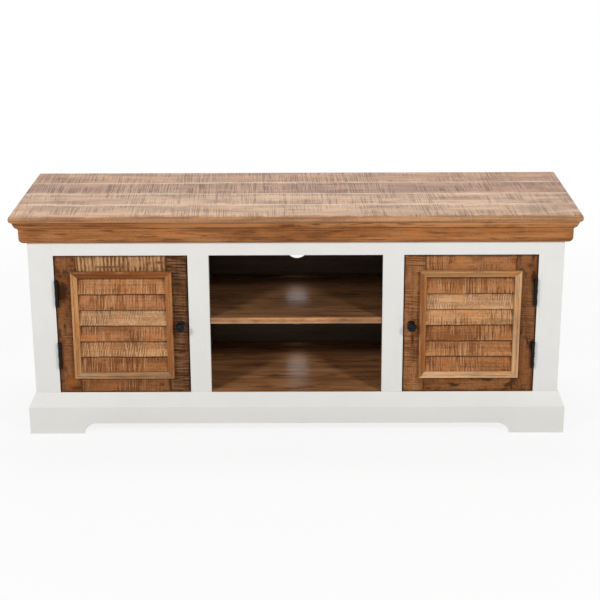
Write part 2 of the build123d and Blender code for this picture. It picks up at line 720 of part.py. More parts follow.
def both_sides(name, shape):
    """The right-hand node and its mirror image on the left."""
    if isinstance(shape, list):
        return {f"{name}_left": [mirrored(piece) for piece in shape], f"{name}_right": shape}
    return {f"{name}_left": mirrored(shape), f"{name}_right": shape}


def make_cabinet():
    """All nodes that stay still."""
    nodes = {f"top_board_{i + 1}": piece for i, piece in enumerate(make_top_boards())}
    nodes["cornice_front"] = front_run(cornice_outline(), CORNICE_PROJECTION)
    nodes.update(both_sides("cornice", side_run(cornice_outline(), CORNICE_PROJECTION)))

    front, side, blocks = make_plinth()
    nodes["plinth_front"] = front
    nodes.update(both_sides("plinth", side))
    nodes["corner_blocks"] = list(blocks.solids())

    outer, mid, top_rail, bottom_rail, foot_socket = make_face_frame()
    nodes.update(both_sides("face_stile", outer))
    nodes.update(both_sides("face_mid_stile", mid))
    nodes["face_top_rail"] = top_rail
    nodes["face_bottom_rail"] = bottom_rail

    side, partition, bottom, back, rail, shelf = make_case(foot_socket)
    nodes.update(both_sides("side_panel", side))
    nodes.update(both_sides("partition", partition))
    nodes["bottom_panel"] = bottom
    nodes["back_panel"] = back
    nodes["back_rail"] = rail
    nodes["centre_shelf"] = shelf

    catch = make_catch()
    nodes["magnetic_catches"] = [catch, mirrored(catch)]
    screws = screws_at(frame_leaf_screw_points(), (1, 0, 0), SCREW_LENGTH)
    screws += screws_at(catch_screw_points(), (0, -1, 0), catch_screw_length)
    nodes["frame_screws"] = screws + [mirrored(piece) for piece in screws]
    return nodes


def make_doors(door_leaves):
    """All nodes of both doors."""
    hinge_stile, lock_stile, top_rail, bottom_rail = make_door_frame()
    screws = screws_at(door_leaf_screw_points(), (-1, 0, 0), SCREW_LENGTH)
    pieces = {
        "hinge_stile": hinge_stile,
        "lock_stile": lock_stile,
        "top_rail": top_rail,
        "bottom_rail": bottom_rail,
        "moulding": make_moulding(),
        "knob": make_knob(),
        "strike_plate": make_strike_plate(),
        "hinge_leaves": door_leaves,
        "screws": screws + [make_knob_bolt(), strike_screw()],
    }
    for index, slat in enumerate(make_slats()):
        pieces[f"slat_{index + 1}"] = slat
    nodes = {}
    for name, piece in pieces.items():
        nodes[f"door_right_{name}"] = piece
        group = [mirrored(item) for item in piece] if isinstance(piece, list) else mirrored(piece)
        nodes[f"door_left_{name}"] = group
    return nodes


def write_steps(nodes):
    """One STEP file per node."""
    os.makedirs("parts", exist_ok=True)
    for name, piece in nodes.items():
        group = piece if isinstance(piece, list) else [piece]
        solids = [solid for item in group for solid in item.solids()]
        shape = solids[0] if len(solids) == 1 else Compound(solids)
        export_step(shape, f"parts/{name}.step")
        print(name, len(solids))


frame_leaves, door_leaves, pins = make_hinges()
nodes = make_cabinet()
nodes.update(both_sides("hinge_frame_leaves", frame_leaves))
nodes["hinge_pins"] = pins + [mirrored(pin) for pin in pins]
nodes.update(make_doors(door_leaves))
write_steps(nodes)
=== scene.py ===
"""TV stand with two louvred doors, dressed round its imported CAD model.

Lengths are metres in the CAD frame: front is -Y, right is +X and up is +Z. Shader lengths are
millimetres, so that grain, saw marks and wear read in the sizes that a joiner would give.
"""

from __future__ import annotations

import logging
import math
from dataclasses import dataclass, replace
from enum import Enum
from typing import Sequence, Union

import bmesh
import bpy
from mathutils import Matrix, Vector, noise


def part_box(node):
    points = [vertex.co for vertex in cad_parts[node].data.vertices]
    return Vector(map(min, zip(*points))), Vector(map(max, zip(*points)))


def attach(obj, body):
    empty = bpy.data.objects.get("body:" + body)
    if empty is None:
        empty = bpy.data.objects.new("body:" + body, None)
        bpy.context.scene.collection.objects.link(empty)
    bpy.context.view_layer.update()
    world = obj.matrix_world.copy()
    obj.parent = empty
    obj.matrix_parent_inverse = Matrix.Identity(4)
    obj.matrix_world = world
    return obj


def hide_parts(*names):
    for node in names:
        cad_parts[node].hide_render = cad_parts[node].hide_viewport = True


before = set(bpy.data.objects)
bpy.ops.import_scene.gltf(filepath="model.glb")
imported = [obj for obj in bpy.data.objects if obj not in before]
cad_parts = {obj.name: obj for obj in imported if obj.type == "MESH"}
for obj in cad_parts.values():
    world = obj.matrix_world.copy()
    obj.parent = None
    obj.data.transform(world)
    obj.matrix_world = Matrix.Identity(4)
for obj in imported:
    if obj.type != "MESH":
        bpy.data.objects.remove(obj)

LOG = logging.getLogger("tv_stand")
MM = 0.001
WHITE = (1.0, 1.0, 1.0)
Rgb = tuple[float, float, float]
Ring = list[Vector]


def srgb(red: float, green: float, blue: float) -> Rgb:
    """A colour from a paint chart, 0 to 255, as the linear numbers that a shader takes.

    Args:
        red: Red on the chart.
        green: Green on the chart.
        blue: Blue on the chart.

    Returns:
        The three linear numbers.
    """
    shares = [part / 255.0 for part in (red, green, blue)]
    return tuple(s / 12.92 if s <= 0.04045 else ((s + 0.055) / 1.055) ** 2.4 for s in shares)


def times(colour: Rgb, factors: Rgb) -> Rgb:
    """A colour with each of its parts multiplied."""
    return tuple(part * factor for part, factor in zip(colour, factors))


def between(first: Rgb, second: Rgb, share: float) -> Rgb:
    """The colour that lies a share of the way from the first to the second."""
    return tuple(a + (b - a) * share for a, b in zip(first, second))


# Shader nodes


class Value:
    """A socket of a node tree. Arithmetic on it adds Math nodes."""

    def __init__(self, graph: Graph, socket: bpy.types.NodeSocket) -> None:
        """Keep the socket and the tree that it belongs to."""
        self.graph = graph
        self.socket = socket

    def _math(self, operation: str, first: Number, second: Number) -> Value:
        """One Math node on two numbers."""
        return self.graph.node("ShaderNodeMath", {"operation": operation}, {0: first, 1: second})

    def __add__(self, other: Number) -> Value:
        """This plus another number."""
        return self._math("ADD", self, other)

    def __radd__(self, other: Number) -> Value:
        """Another number plus this."""
        return self._math("ADD", other, self)

    def __sub__(self, other: Number) -> Value:
        """This less another number."""
        return self._math("SUBTRACT", self, other)

    def __rsub__(self, other: Number) -> Value:
        """Another number less this."""
        return self._math("SUBTRACT", other, self)

    def __mul__(self, other: Number) -> Value:
        """This times another number."""
        return self._math("MULTIPLY", self, other)

    def __rmul__(self, other: Number) -> Value:
        """Another number times this."""
        return self._math("MULTIPLY", other, self)

    def lesser(self, other: Number) -> Value:
        """The smaller of this and another number."""
        return self._math("MINIMUM", self, other)

    def greater(self, other: Number) -> Value:
        """The larger of this and another number."""
        return self._math("MAXIMUM", self, other)

    def wave(self) -> Value:
        """Sine of this, taken as an angle in radians."""
        return self._math("SINE", self, 0.0)

    def ramp(self, start: float, end: float) -> Value:
        """Smooth step from 0 at start to 1 at end; start may be the higher one."""
        limits = {0: self, 1: start, 2: end}
        return self.graph.node("ShaderNodeMapRange", {"interpolation_type": "SMOOTHSTEP"}, limits)

    def output(self, name: int | str) -> Value:
        """Another output of the node that this one comes from."""
        return Value(self.graph, self.socket.node.outputs[name])


Number = Union[Value, float]


class Graph:
    """The node tree of one material or world."""

    def __init__(self, owner: bpy.types.Material | bpy.types.World) -> None:
        """Start the owner's node tree empty."""
        owner.use_nodes = True
        self.tree = owner.node_tree
        self.tree.nodes.clear()

    def node(
        self,
        kind: str,
        settings: dict[str, object] | None = None,
        inputs: dict[int | str, object] | None = None,
    ) -> Value | None:
        """Add one node.

        Args:
            kind: Blender's name for the node's type.
            settings: What is set on the node before its sockets, such as an operation.
            inputs: A number, colour, vector or Value for each socket, by index or name.

        Returns:
            The node's first output, or None where it has no output.
        """
        made = self.tree.nodes.new(kind)
        for name, setting in (settings or {}).items():
            setattr(made, name, setting)
        for key, given in (inputs or {}).items():
            socket = made.inputs[key]
            if isinstance(given, Value):
                self.tree.links.new(given.socket, socket)
            elif socket.type == "RGBA":
                socket.default_value = (*given, 1.0)
            else:
                socket.default_value = given
        return Value(self, made.outputs[0]) if made.outputs else None

    def mix(self, factor: Number, first: Value | Rgb, second: Value | Rgb) -> Value:
        """A colour between two others: the first at factor 0 and the second at 1."""
        settings = {"data_type": "RGBA"}
        return self.node("ShaderNodeMix", settings, {0: factor, 6: first, 7: second}).output(2)

    def vector(self, operation: str, first: Value, second: Sequence[float]) -> Value:
        """Vector Math on a place and a fixed vector."""
        return self.node("ShaderNodeVectorMath", {"operation": operation}, {0: first, 1: second})

    def place(self) -> Value:
        """Where a point is on the object at rest, in millimetres."""
        metres = self.node("ShaderNodeTexCoord").output("Object")
        return self.vector("MULTIPLY", metres, (1000.0, 1000.0, 1000.0))

    def parts(self, place: Value) -> list[Value]:
        """The three numbers of a place."""
        first = self.node("ShaderNodeSeparateXYZ", None, {0: place})
        return [first.output(index) for index in range(3)]

    def noise(
        self,
        place: Value,
        size: Sequence[float],
        seed: float,
        turn: Sequence[float] = (0.0, 0.0, 0.0),
        detail: float = 2.0,
        roughness: float = 0.55,
        distortion: float = 0.0,
    ) -> Value:
        """Random figure, around one half, whose features have the size given.

        Args:
            place: The point in millimetres.
            size: Size of the figure's features along each axis, in millimetres.
            seed: Which stretch of the figure is used.
            turn: Turn about each axis, in radians.
            detail: How many finer layers are added.
            roughness: How strong the finer layers are.
            distortion: How far the figure is bent.

        Returns:
            The figure's number at that place.
        """
        start = (seed * 137.0, seed * -91.0, seed * 53.0)
        laid = {"Vector": place, "Location": start, "Rotation": turn, "Scale": size}
        mapped = self.node("ShaderNodeMapping", {"vector_type": "TEXTURE"}, laid)
        layers = {"Scale": 1.0, "Detail": detail, "Roughness": roughness, "Distortion": distortion}
        return self.node("ShaderNodeTexNoise", None, {"Vector": mapped, **layers})

    def seen_directly(self) -> Value:
        """1 for rays from the camera, off a gloss or through glass, and 0 for the rest."""
        camera = self.node("ShaderNodeLightPath")
        seen = camera.greater(camera.output("Is Glossy Ray"))
        return seen.greater(camera.output("Is Transmission Ray"))

    def close(self, surface: Surface, relief: float, constants: dict[str, float]) -> None:
        """End the tree in one shader.

        Args:
            surface: Colour, roughness and height of the surface.
            relief: Depth of the relief that one unit of height stands for, in millimetres.
            constants: Values that are the same all over, by socket name.
        """
        bump = {"Strength": 1.0, "Distance": relief * MM, "Height": surface.height}
        normal = self.node("ShaderNodeBump", None, bump)
        varying = {"Base Color": surface.colour, "Roughness": surface.roughness, "Normal": normal}
        shader = self.node("ShaderNodeBsdfPrincipled", None, {**varying, **constants})
        self.node("ShaderNodeOutputMaterial", None, {"Surface": shader})


def start_material(name: str) -> tuple[bpy.types.Material, Graph]:
    """An empty material and its node tree."""
    material = bpy.data.materials.new(name)
    return material, Graph(material)


@dataclass(frozen=True)
class Surface:
    """What a finish gives at each point: its colour, roughness and height."""

    colour: Value
    roughness: Value
    height: Value

    def under(self, mask: Value, other: Surface) -> Surface:
        """This surface where the mask is 0, and the other where it is 1."""
        graph = mask.graph
        kept = 1.0 - mask
        return Surface(
            graph.mix(mask, self.colour, other.colour),
            self.roughness * kept + other.roughness * mask,
            self.height * kept + other.height * mask,
        )


# Finishes


class Axis(Enum):
    """A direction of the CAD frame."""

    X = 0
    Y = 1
    Z = 2

    @property
    def across(self) -> tuple[int, int]:
        """The other two directions."""
        return tuple(index for index in range(3) if index != self.value)


class Tone(Enum):
    """Colours of the reclaimed boards, as they are sorted in the workshop; some carry painted sheen
    or shade.
    """

    # These two are darkened with the painted shade of the bay's back and walls.
    DRAB = srgb(108, 98, 84)
    SHADED_BROWN = srgb(104, 84, 66)
    SMOKED = srgb(111, 75, 47)
    UMBER = srgb(125, 82, 50)
    WALNUT = srgb(131, 87, 53)
    REDDISH = srgb(139, 85, 46)
    MOCHA = srgb(132, 95, 64)
    RUSSET = srgb(149, 101, 63)
    SIENNA = srgb(159, 107, 65)
    BISCUIT = srgb(161, 115, 75)
    CINNAMON = srgb(158, 108, 69)
    CHESTNUT = srgb(159, 107, 66)
    GINGER = srgb(164, 111, 68)
    TAN = srgb(167, 114, 74)
    AMBER = srgb(170, 118, 76)
    GOLDEN = srgb(169, 128, 87)
    ASHEN = srgb(165, 131, 99)
    TOFFEE = srgb(168, 120, 80)
    HONEY = srgb(186, 138, 95)
    BUFF = srgb(191, 141, 94)
    STRAW = srgb(192, 150, 111)
    CREAM = srgb(200, 161, 122)
    # These four are the worktop's top faces: the boards' colour made paler by a painted sheen.
    BLEACH_AND_SHEEN = srgb(177, 133, 96)
    DUST_AND_SHEEN = srgb(163, 119, 86)
    LIME_AND_SHEEN = srgb(193, 155, 122)
    CHALK_AND_SHEEN = srgb(197, 158, 122)

    @property
    def light(self) -> Rgb:
        """Early wood between the grain lines."""
        return times(self.value, (1.24, 1.24, 1.24))

    @property
    def dark(self) -> Rgb:
        """Late wood in the grain lines."""
        return times(self.value, (0.68, 0.60, 0.54))

    @property
    def deep(self) -> Rgb:
        """Bottom of a saw mark."""
        return times(self.value, (0.36, 0.28, 0.24))

    @property
    def pale(self) -> Rgb:
        """Fuzzy ridge between saw marks, or an edge that is rubbed and given a painted highlight.
        """
        return between(self.value, srgb(228, 192, 154), 0.5)

    @property
    def warm(self) -> Rgb:
        """Patch where the oil has gone in deeper."""
        return times(self.value, (1.30, 0.98, 0.62))


KNOT_GRIT = (7.0, 7.0, 7.0)
KNOT_RAGGED = 1.1
KNOT_RING = (2.3, 0.8)
KNOT_CORE = (1.0, 0.45)
CREASE_SHADE_GAPS = (45.0, 45.0, 9.0)
SCORE_FADE = 90.0
SCORE_SIZE = (4.5, 150.0, 150.0)


@dataclass(frozen=True)
class Knot:
    """A knot in a board: its middle, its spread along each axis, in millimetres, and its shade."""

    middle: tuple[float, float, float]
    spread: tuple[float, float, float]
    burnt: float = 1.0

    def draw(self, graph: Graph, place: Value, colour: Value, tone: Tone) -> Value:
        """Darken a board's colour where the knot is.

        Args:
            graph: The tree that is added to.
            place: The point in millimetres.
            colour: The board's colour so far.
            tone: The board's tone.

        Returns:
            The board's colour with the knot in it.
        """
        offset = graph.vector("SUBTRACT", place, self.middle)
        scaled = graph.vector("DIVIDE", offset, self.spread)
        length = graph.node("ShaderNodeVectorMath", {"operation": "LENGTH"}, {0: scaled})
        ragged = graph.noise(place, KNOT_GRIT, self.spread[0])
        distance = length.output("Value") + (ragged - 0.5) * KNOT_RAGGED
        colour = graph.mix(distance.ramp(*KNOT_RING) * 0.5, colour, tone.dark)
        core = times(tone.deep, (self.burnt,) * 3)
        return graph.mix(distance.ramp(*KNOT_CORE) * 0.85, colour, core)


@dataclass(frozen=True)
class Crease:
    """A line of painted shade in a moulding's crease: its axis, place, width and strength."""

    axis: Axis
    at: float
    width: float
    strength: float

    def draw(self, graph: Graph, place: Value, colour: Value, tone: Tone) -> Value:
        """Darken a board's colour along the line as painted shade, broken here and there.

        Args:
            graph: The tree that is added to.
            place: The point in millimetres.
            colour: The board's colour so far.
            tone: The board's tone.

        Returns:
            The board's colour with the line in it.
        """
        offset = graph.parts(place)[self.axis.value] - self.at
        gap = offset.greater(0.0 - offset)
        broken = graph.noise(place, CREASE_SHADE_GAPS, self.at, detail=3.0).ramp(0.36, 0.56)
        return graph.mix(gap.ramp(self.width, 0.0) * broken * self.strength, colour, tone.deep)


@dataclass(frozen=True)
class Fade:
    """Colour that grows lighter or darker along a board, from start to end and above a level."""

    axis: Axis
    start: float
    end: float
    factors: Rgb
    above: float = -10.0

    def draw(self, graph: Graph, place: Value, colour: Value, tone: Tone) -> Value:
        """Lighten or darken a board's colour along the board.

        Args:
            graph: The tree that is added to.
            place: The point in millimetres.
            colour: The board's colour so far.
            tone: The board's tone, which isn't needed here.

        Returns:
            The board's colour with the change along it.
        """
        parts = graph.parts(place)
        share = parts[self.axis.value].ramp(self.start, self.end)
        share = share * parts[Axis.Z.value].ramp(self.above - 1.0, self.above + 1.0)
        return graph.mix(share, colour, graph.vector("MULTIPLY", colour, self.factors))


@dataclass(frozen=True)
class Scoring:
    """A stretch of a board that the saw has burnt, with dark lines across its grain."""

    start: float
    end: float
    strength: float

    def draw(self, graph: Graph, place: Value, colour: Value, tone: Tone) -> Value:
        """Darken the lines on the stretch, which fades out towards both of its ends.

        Args:
            graph: The tree that is added to.
            place: The point in millimetres.
            colour: The board's colour so far.
            tone: The board's tone.

        Returns:
            The board's colour with the lines on it.
        """
        along = graph.parts(place)[Axis.X.value]
        stretch = along.ramp(self.start, self.start + SCORE_FADE)
        stretch = stretch * along.ramp(self.end, self.end - SCORE_FADE)
        lines = graph.noise(place, SCORE_SIZE, 4.7, detail=3.0, roughness=0.65)
        return graph.mix(stretch * lines.ramp(0.47, 0.62) * self.strength, colour, tone.deep)


Mark = Union[Knot, Crease, Fade, Scoring]


@dataclass(frozen=True)
class Layer:
    """One layer of a board's figure: size along and across the grain, and how it is drawn."""

    along: float
    across: float
    step: float
    detail: float = 2.0
    limits: tuple[float, float] = (0.0, 1.0)
    roughness: float = 0.55
    distortion: float = 0.0


class Figure(Enum):
    """Layers of a board's figure; one that comes in patches has the limits of a patch."""

    FIBRE = Layer(190.0, 3.2, 0.0, 5.0, roughness=0.62, distortion=0.3)
    STROKE = Layer(120.0, 1.6, 0.0, 3.0)
    BROAD = Layer(230.0, 36.0, 1.0)
    SAWN_PATCH = Layer(85.0, 48.0, 3.0)
    STAIN = Layer(95.0, 40.0, 4.0, 4.0, (0.55, 0.68))
    RAGGED = Layer(30.0, 12.0, 5.0, 3.0)
    OIL = Layer(55.0, 22.0, 6.0, 3.0, (0.50, 0.70))
    PORE = Layer(26.0, 2.4, 7.0, 2.0, (0.56, 0.70))
    BAND = Layer(240.0, 1.0, 10.0, 3.0)
    UNWORN = Layer(210.0, 60.0, 11.0, 2.0, (0.58, 0.40))
    WAVE = Layer(34.0, 60.0, 12.0, 3.0)


@dataclass(frozen=True)
class BoardLie:
    """How a board lies: its limits in millimetres, its grain, and its stretch of figure."""

    low: Vector
    high: Vector
    grain: Axis
    seed: float
    marks: tuple[Mark, ...] = ()

    @classmethod
    def of(
        cls, low: Vector, high: Vector, grain: Axis, seed: float, marks: tuple[Mark, ...] = ()
    ) -> BoardLie:
        """A board between two corners in metres."""
        return cls(Vector(low) / MM, Vector(high) / MM, grain, seed, marks)

    @classmethod
    def of_node(cls, node: str, grain: Axis, seed: float) -> BoardLie:
        """A board that fills a CAD node's box."""
        return cls.of(*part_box(node), grain, seed)

    def sizes(self, along: float, across: float) -> tuple[float, float, float]:
        """Size of a figure's features, from its size along and across the grain."""
        return tuple(along if index == self.grain.value else across for index in range(3))

    def turn(self, slant: float) -> tuple[float, float, float]:
        """Turn that lays saw marks aslant, for an angle in degrees."""
        angle = math.radians(slant)
        return tuple(0.0 if index == self.grain.value else angle for index in range(3))

    def slope(self, slant: float) -> tuple[float, float, float]:
        """Vector whose product with a place gives the place along saw marks that lie aslant."""
        lean = math.tan(math.radians(slant))
        return tuple(1.0 if index == self.grain.value else lean for index in range(3))

    def figure(
        self, graph: Graph, place: Value, figure: Figure, along: float = 1.0, across: float = 1.0
    ) -> Value:
        """One layer of the board's figure.

        Args:
            graph: The tree that is added to.
            place: The point in millimetres.
            figure: Which layer it is.
            along: How much longer than usual its features are.
            across: How much wider than usual its features are.

        Returns:
            The layer's number, around one half.
        """
        layer = figure.value
        return graph.noise(
            place,
            self.sizes(layer.along * along, layer.across * across),
            self.seed + layer.step,
            detail=layer.detail,
            roughness=layer.roughness,
            distortion=layer.distortion,
        )

    def patches(self, graph: Graph, place: Value, figure: Figure, scale: float = 1.0) -> Value:
        """Patches of one layer: 1 on a patch and 0 beside it."""
        return self.figure(graph, place, figure, scale, scale).ramp(*figure.value.limits)

    def edge_distance(self, graph: Graph, place: Value) -> Value:
        """Distance from the nearest arris: the middle one of those to the three pairs of faces."""
        gaps = [
            (part - low).lesser(high - part)
            for part, low, high in zip(graph.parts(place), self.low, self.high)
        ]
        shorter = gaps[0].lesser(gaps[1])
        longer = gaps[0].greater(gaps[1])
        return shorter.greater(longer.lesser(gaps[2]))


BLADE_SWAY = 16.0
BLADE_SWAY_SIZE = (70.0, 70.0, 70.0)
BEAT_SHARE = 0.1
CUT_LIMITS = (0.50, 0.60)
CREST_LIMITS = (0.49, 0.38)
FIBRE_HEIGHT = 0.4
CREST_HEIGHT = 0.4
CUT_DEPTH = 0.8
CUT_ROUGHNESS = 0.15
FIBRE_ROUGHNESS = 0.2
NOSE_BAND = 3.0
NOSE_BLEND = 1.5


@dataclass(frozen=True)
class Timber:
    """Timber with grain along the board, and saw marks, stains, wear and a painted highlight on its
    edges.
    """

    fibre: float = 1.5
    broad: float = 1.5
    band: float = 0.0
    band_size: float = 9.0
    grit: float = 0.5
    grit_size: float = 3.2
    fleck: float = 0.2
    fleck_size: float = 1.0
    warmth: float = 0.5
    saw: float = 0.0
    ridge: float = 0.0
    pitch: float = 6.0
    beat: float = 0.5
    slant: float = 4.0
    reach: float = 70.0
    patch: tuple[float, float] = (0.40, 0.56)
    stain: float = 0.0
    stain_size: float = 1.0
    stain_colour: Rgb = srgb(84, 68, 60)
    marks: tuple[Mark, ...] = ()
    nose_marks: tuple[Mark, ...] = ()
    nose_below: float = 0.0
    nose_waves: float = 7.0
    nose_tone: Tone = Tone.UMBER
    rubbed_highlight: float = 0.0
    rubbed_highlight_colour: Rgb = srgb(226, 190, 150)
    grimy: float = 0.0
    edge_width: float = 4.0
    ragged: float = 3.0
    edge_gaps: float = 0.0
    roughness: float = 0.5
    relief: float = 0.5
    gloss: float = 0.05
    fuzz: float = 0.0

    def saw_marks(self, graph: Graph, place: Value, lie: BoardLie) -> Value:
        """Saw marks across the grain, around one half: partly regular and partly random."""
        sway = graph.noise(place, BLADE_SWAY_SIZE, lie.seed + 8.0, detail=3.0) * BLADE_SWAY
        along = graph.vector("DOT_PRODUCT", place, lie.slope(self.slant)).output("Value")
        beat = ((along + sway) * (2.0 * math.pi / self.pitch)).wave()
        size = lie.sizes(self.pitch * 0.6, self.reach)
        turn = lie.turn(self.slant)
        marks = graph.noise(place, size, lie.seed + 2.0, turn=turn, detail=4.0, roughness=0.7)
        return marks + beat * (BEAT_SHARE * self.beat)

    def surface(self, graph: Graph, place: Value, lie: BoardLie, tone: Tone) -> Surface:
        """The timber's looks at each point.

        Args:
            graph: The tree that is added to.
            place: The point in millimetres.
            lie: How the board lies.
            tone: The board's tone.

        Returns:
            Its colour, roughness and height.
        """
        fibre = lie.figure(graph, place, Figure.FIBRE)
        broad = lie.figure(graph, place, Figure.BROAD)
        band = lie.figure(graph, place, Figure.BAND, across=self.band_size) - 0.5
        grit = graph.noise(place, (self.grit_size,) * 3, lie.seed + 9.0)
        figure = (fibre - 0.5) * self.fibre + (broad - 0.5) * self.broad
        figure = figure + (grit - 0.5) * self.grit + 0.5 + band * self.band
        colour = graph.mix(figure, tone.dark, tone.light)
        oil = lie.patches(graph, place, Figure.OIL)
        colour = graph.mix(oil * self.warmth, colour, tone.warm)
        pores = lie.patches(graph, place, Figure.PORE, self.fleck_size)
        colour = graph.mix(pores * self.fleck, colour, tone.deep)
        height = fibre * FIBRE_HEIGHT
        roughness = self.roughness + (0.5 - fibre) * FIBRE_ROUGHNESS
        if self.saw > 0.0:
            marks = self.saw_marks(graph, place, lie)
            patch = lie.figure(graph, place, Figure.SAWN_PATCH).ramp(*self.patch)
            cut = marks.ramp(*CUT_LIMITS) * patch
            crest = marks.ramp(*CREST_LIMITS) * patch
            colour = graph.mix(cut * self.saw, colour, tone.deep)
            colour = graph.mix(crest * self.ridge, colour, tone.pale)
            height = height + crest * CREST_HEIGHT - cut * CUT_DEPTH
            roughness = roughness + cut * CUT_ROUGHNESS
        if self.stain > 0.0:
            spots = lie.patches(graph, place, Figure.STAIN, self.stain_size)
            colour = graph.mix(spots * self.stain, colour, self.stain_colour)
        # Edges lighten where rubbed, partly wear and partly a painted highlight, and darken with
        # dirt where grimy.
        if self.rubbed_highlight > 0.0 or self.grimy > 0.0:
            ragged = lie.figure(graph, place, Figure.RAGGED) - 0.5
            edge = lie.edge_distance(graph, place) + ragged * self.edge_width * self.ragged
            unworn = lie.patches(graph, place, Figure.UNWORN)
            worn = edge.ramp(self.edge_width, 0.3) * (1.0 - unworn * self.edge_gaps)
            target = self.rubbed_highlight_colour if self.rubbed_highlight > 0.0 else tone.deep
            colour = graph.mix(worn * max(self.rubbed_highlight, self.grimy), colour, target)
        # Below the nose level the board shows its own colour; its tone above that may hold a
        # painted sheen.
        if self.nose_below > 0.0:
            waves = lie.figure(graph, place, Figure.WAVE) - 0.5
            level = graph.parts(place)[Axis.Z.value] + waves * self.nose_waves
            below = level.ramp(self.nose_below, self.nose_below - NOSE_BLEND)
            nose = graph.mix(figure + band * NOSE_BAND, self.nose_tone.dark, self.nose_tone.light)
            for mark in self.nose_marks:
                nose = mark.draw(graph, place, nose, self.nose_tone)
            colour = graph.mix(below, colour, nose)
        for mark in (*lie.marks, *self.marks):
            colour = mark.draw(graph, place, colour, tone)
        return Surface(colour, roughness, height)

    def material(self, name: str, lie: BoardLie, tone: Tone) -> bpy.types.Material:
        """A material of this timber for one board."""
        material, graph = start_material(name)
        sheen = {"Specular IOR Level": self.gloss, "Sheen Weight": self.fuzz}
        graph.close(self.surface(graph, graph.place(), lie, tone), self.relief, sheen)
        return material


@dataclass(frozen=True)
class BareSide:
    """The side of a painted board that is left as timber: bare from start to end along an axis."""

    axis: Axis
    start: float
    end: float
    timber: Timber
    tone: Tone


@dataclass(frozen=True)
class BrushedPaint:
    """Thick satin paint, laid on with a brush along each board."""

    colour: Rgb = srgb(226, 225, 221)
    dull: Rgb = srgb(217, 215, 211)
    roughness: float = 0.48
    relief: float = 0.12

    def surface(self, graph: Graph, place: Value, lie: BoardLie) -> Surface:
        """The paint's looks at each point.

        Args:
            graph: The tree that is added to.
            place: The point in millimetres.
            lie: How the board lies.

        Returns:
            Its colour, roughness and height.
        """
        strokes = lie.figure(graph, place, Figure.STROKE)
        cloud = graph.noise(place, (110.0, 110.0, 110.0), lie.seed + 1.0, detail=3.0)
        tint = (cloud - 0.5) * 1.1 + (strokes - 0.5) * 0.5 + 0.3
        colour = graph.mix(tint, self.colour, self.dull)
        roughness = self.roughness + (cloud - 0.5) * 0.25
        return Surface(colour, roughness, strokes + cloud * 0.6)

    def material(
        self, name: str, lie: BoardLie, bare: BareSide | None = None
    ) -> bpy.types.Material:
        """A material of this paint for one board, with a bare side if it has one."""
        material, graph = start_material(name)
        place = graph.place()
        surface = self.surface(graph, place, lie)
        if bare is not None:
            timber = bare.timber.surface(graph, place, lie, bare.tone)
            mask = graph.parts(place)[bare.axis.value].ramp(bare.start, bare.end)
            surface = surface.under(mask, timber)
        graph.close(surface, self.relief, {})
        return material


@dataclass(frozen=True)
class Metal:
    """Metal fittings: forged and blackened, or bright steel."""

    colour: Rgb
    worn: Rgb
    metallic: float
    roughness: float
    grain: float
    relief: float
    gloss: float = 0.5

    def material(self, name: str) -> bpy.types.Material:
        """A material of this metal."""
        material, graph = start_material(name)
        place = graph.place()
        size = (self.grain, self.grain, self.grain)
        dents = graph.noise(place, size, 3.0, detail=3.0)
        smudge = graph.noise(place, (18.0, 18.0, 18.0), 5.0)
        colour = graph.mix((dents - 0.5) * 1.4 + smudge - 0.3, self.colour, self.worn)
        roughness = self.roughness + (smudge - 0.5) * 0.3 + (dents - 0.5) * 0.15
        surface = Surface(colour, roughness, dents)
        fixed = {"Metallic": self.metallic, "Specular IOR Level": self.gloss}
        graph.close(surface, self.relief, fixed)
        return material


@dataclass(frozen=True)
class Moulded:
    """Moulded plastic with a faint grain."""

    colour: Rgb
    worn: Rgb

    def material(self, name: str) -> bpy.types.Material:
        """A material of this plastic."""
        material, graph = start_material(name)
        place = graph.place()
        grain = graph.noise(place, (0.7, 0.7, 0.7), 1.0, detail=2.0)
        smudge = graph.noise(place, (9.0, 9.0, 9.0), 2.0, detail=3.0)
        colour = graph.mix(smudge, self.colour, self.worn)
        graph.close(Surface(colour, 0.35 + smudge * 0.2, grain), 0.05, {})
        return material


SAWN_TOP = Timber(
    fibre=2.8, broad=3.4, grit=1.3, fleck=0.3, warmth=0.3, saw=0.75, ridge=0.5, beat=0.4,
    slant=2.0, reach=160.0, patch=(0.34, 0.56), stain=0.45, stain_colour=srgb(116, 83, 64),
    nose_below=578.9, nose_tone=Tone.BISCUIT,
    nose_marks=(Fade(Axis.X, -350.0, 450.0, (1.22, 1.32, 1.42)),),
    rubbed_highlight=0.65, rubbed_highlight_colour=srgb(238, 214, 188), edge_width=13.0, ragged=1.5, edge_gaps=0.8,
    roughness=0.46, relief=0.6, gloss=0.4, fuzz=0.12,
)
SAWN = Timber(
    fibre=2.0, broad=2.6, grit=1.6, grit_size=5.0, fleck=0.4, warmth=0.6, saw=0.7, ridge=0.25,
    slant=3.0, patch=(0.36, 0.58), stain=0.5, stain_colour=srgb(46, 32, 25), grimy=0.7, relief=0.7,
)
STRIPED = Timber(
    fibre=1.8, broad=2.4, grit=1.0, fleck=0.3, warmth=0.4, saw=0.95, ridge=0.5, pitch=9.5,
    beat=0.8, slant=3.0, patch=(0.24, 0.42), stain=0.2, stain_colour=srgb(40, 30, 24),
    grimy=0.75, relief=0.8,
)
SCORED = Timber(
    fibre=2.0, broad=2.6, grit=1.4, grit_size=5.0, fleck=0.4, warmth=0.5, saw=1.0, ridge=0.2,
    pitch=7.8, beat=0.45, slant=2.0, patch=(0.28, 0.48), stain=0.4, stain_colour=srgb(36, 26, 20),
    grimy=0.85, edge_width=6.0, relief=0.8,
)
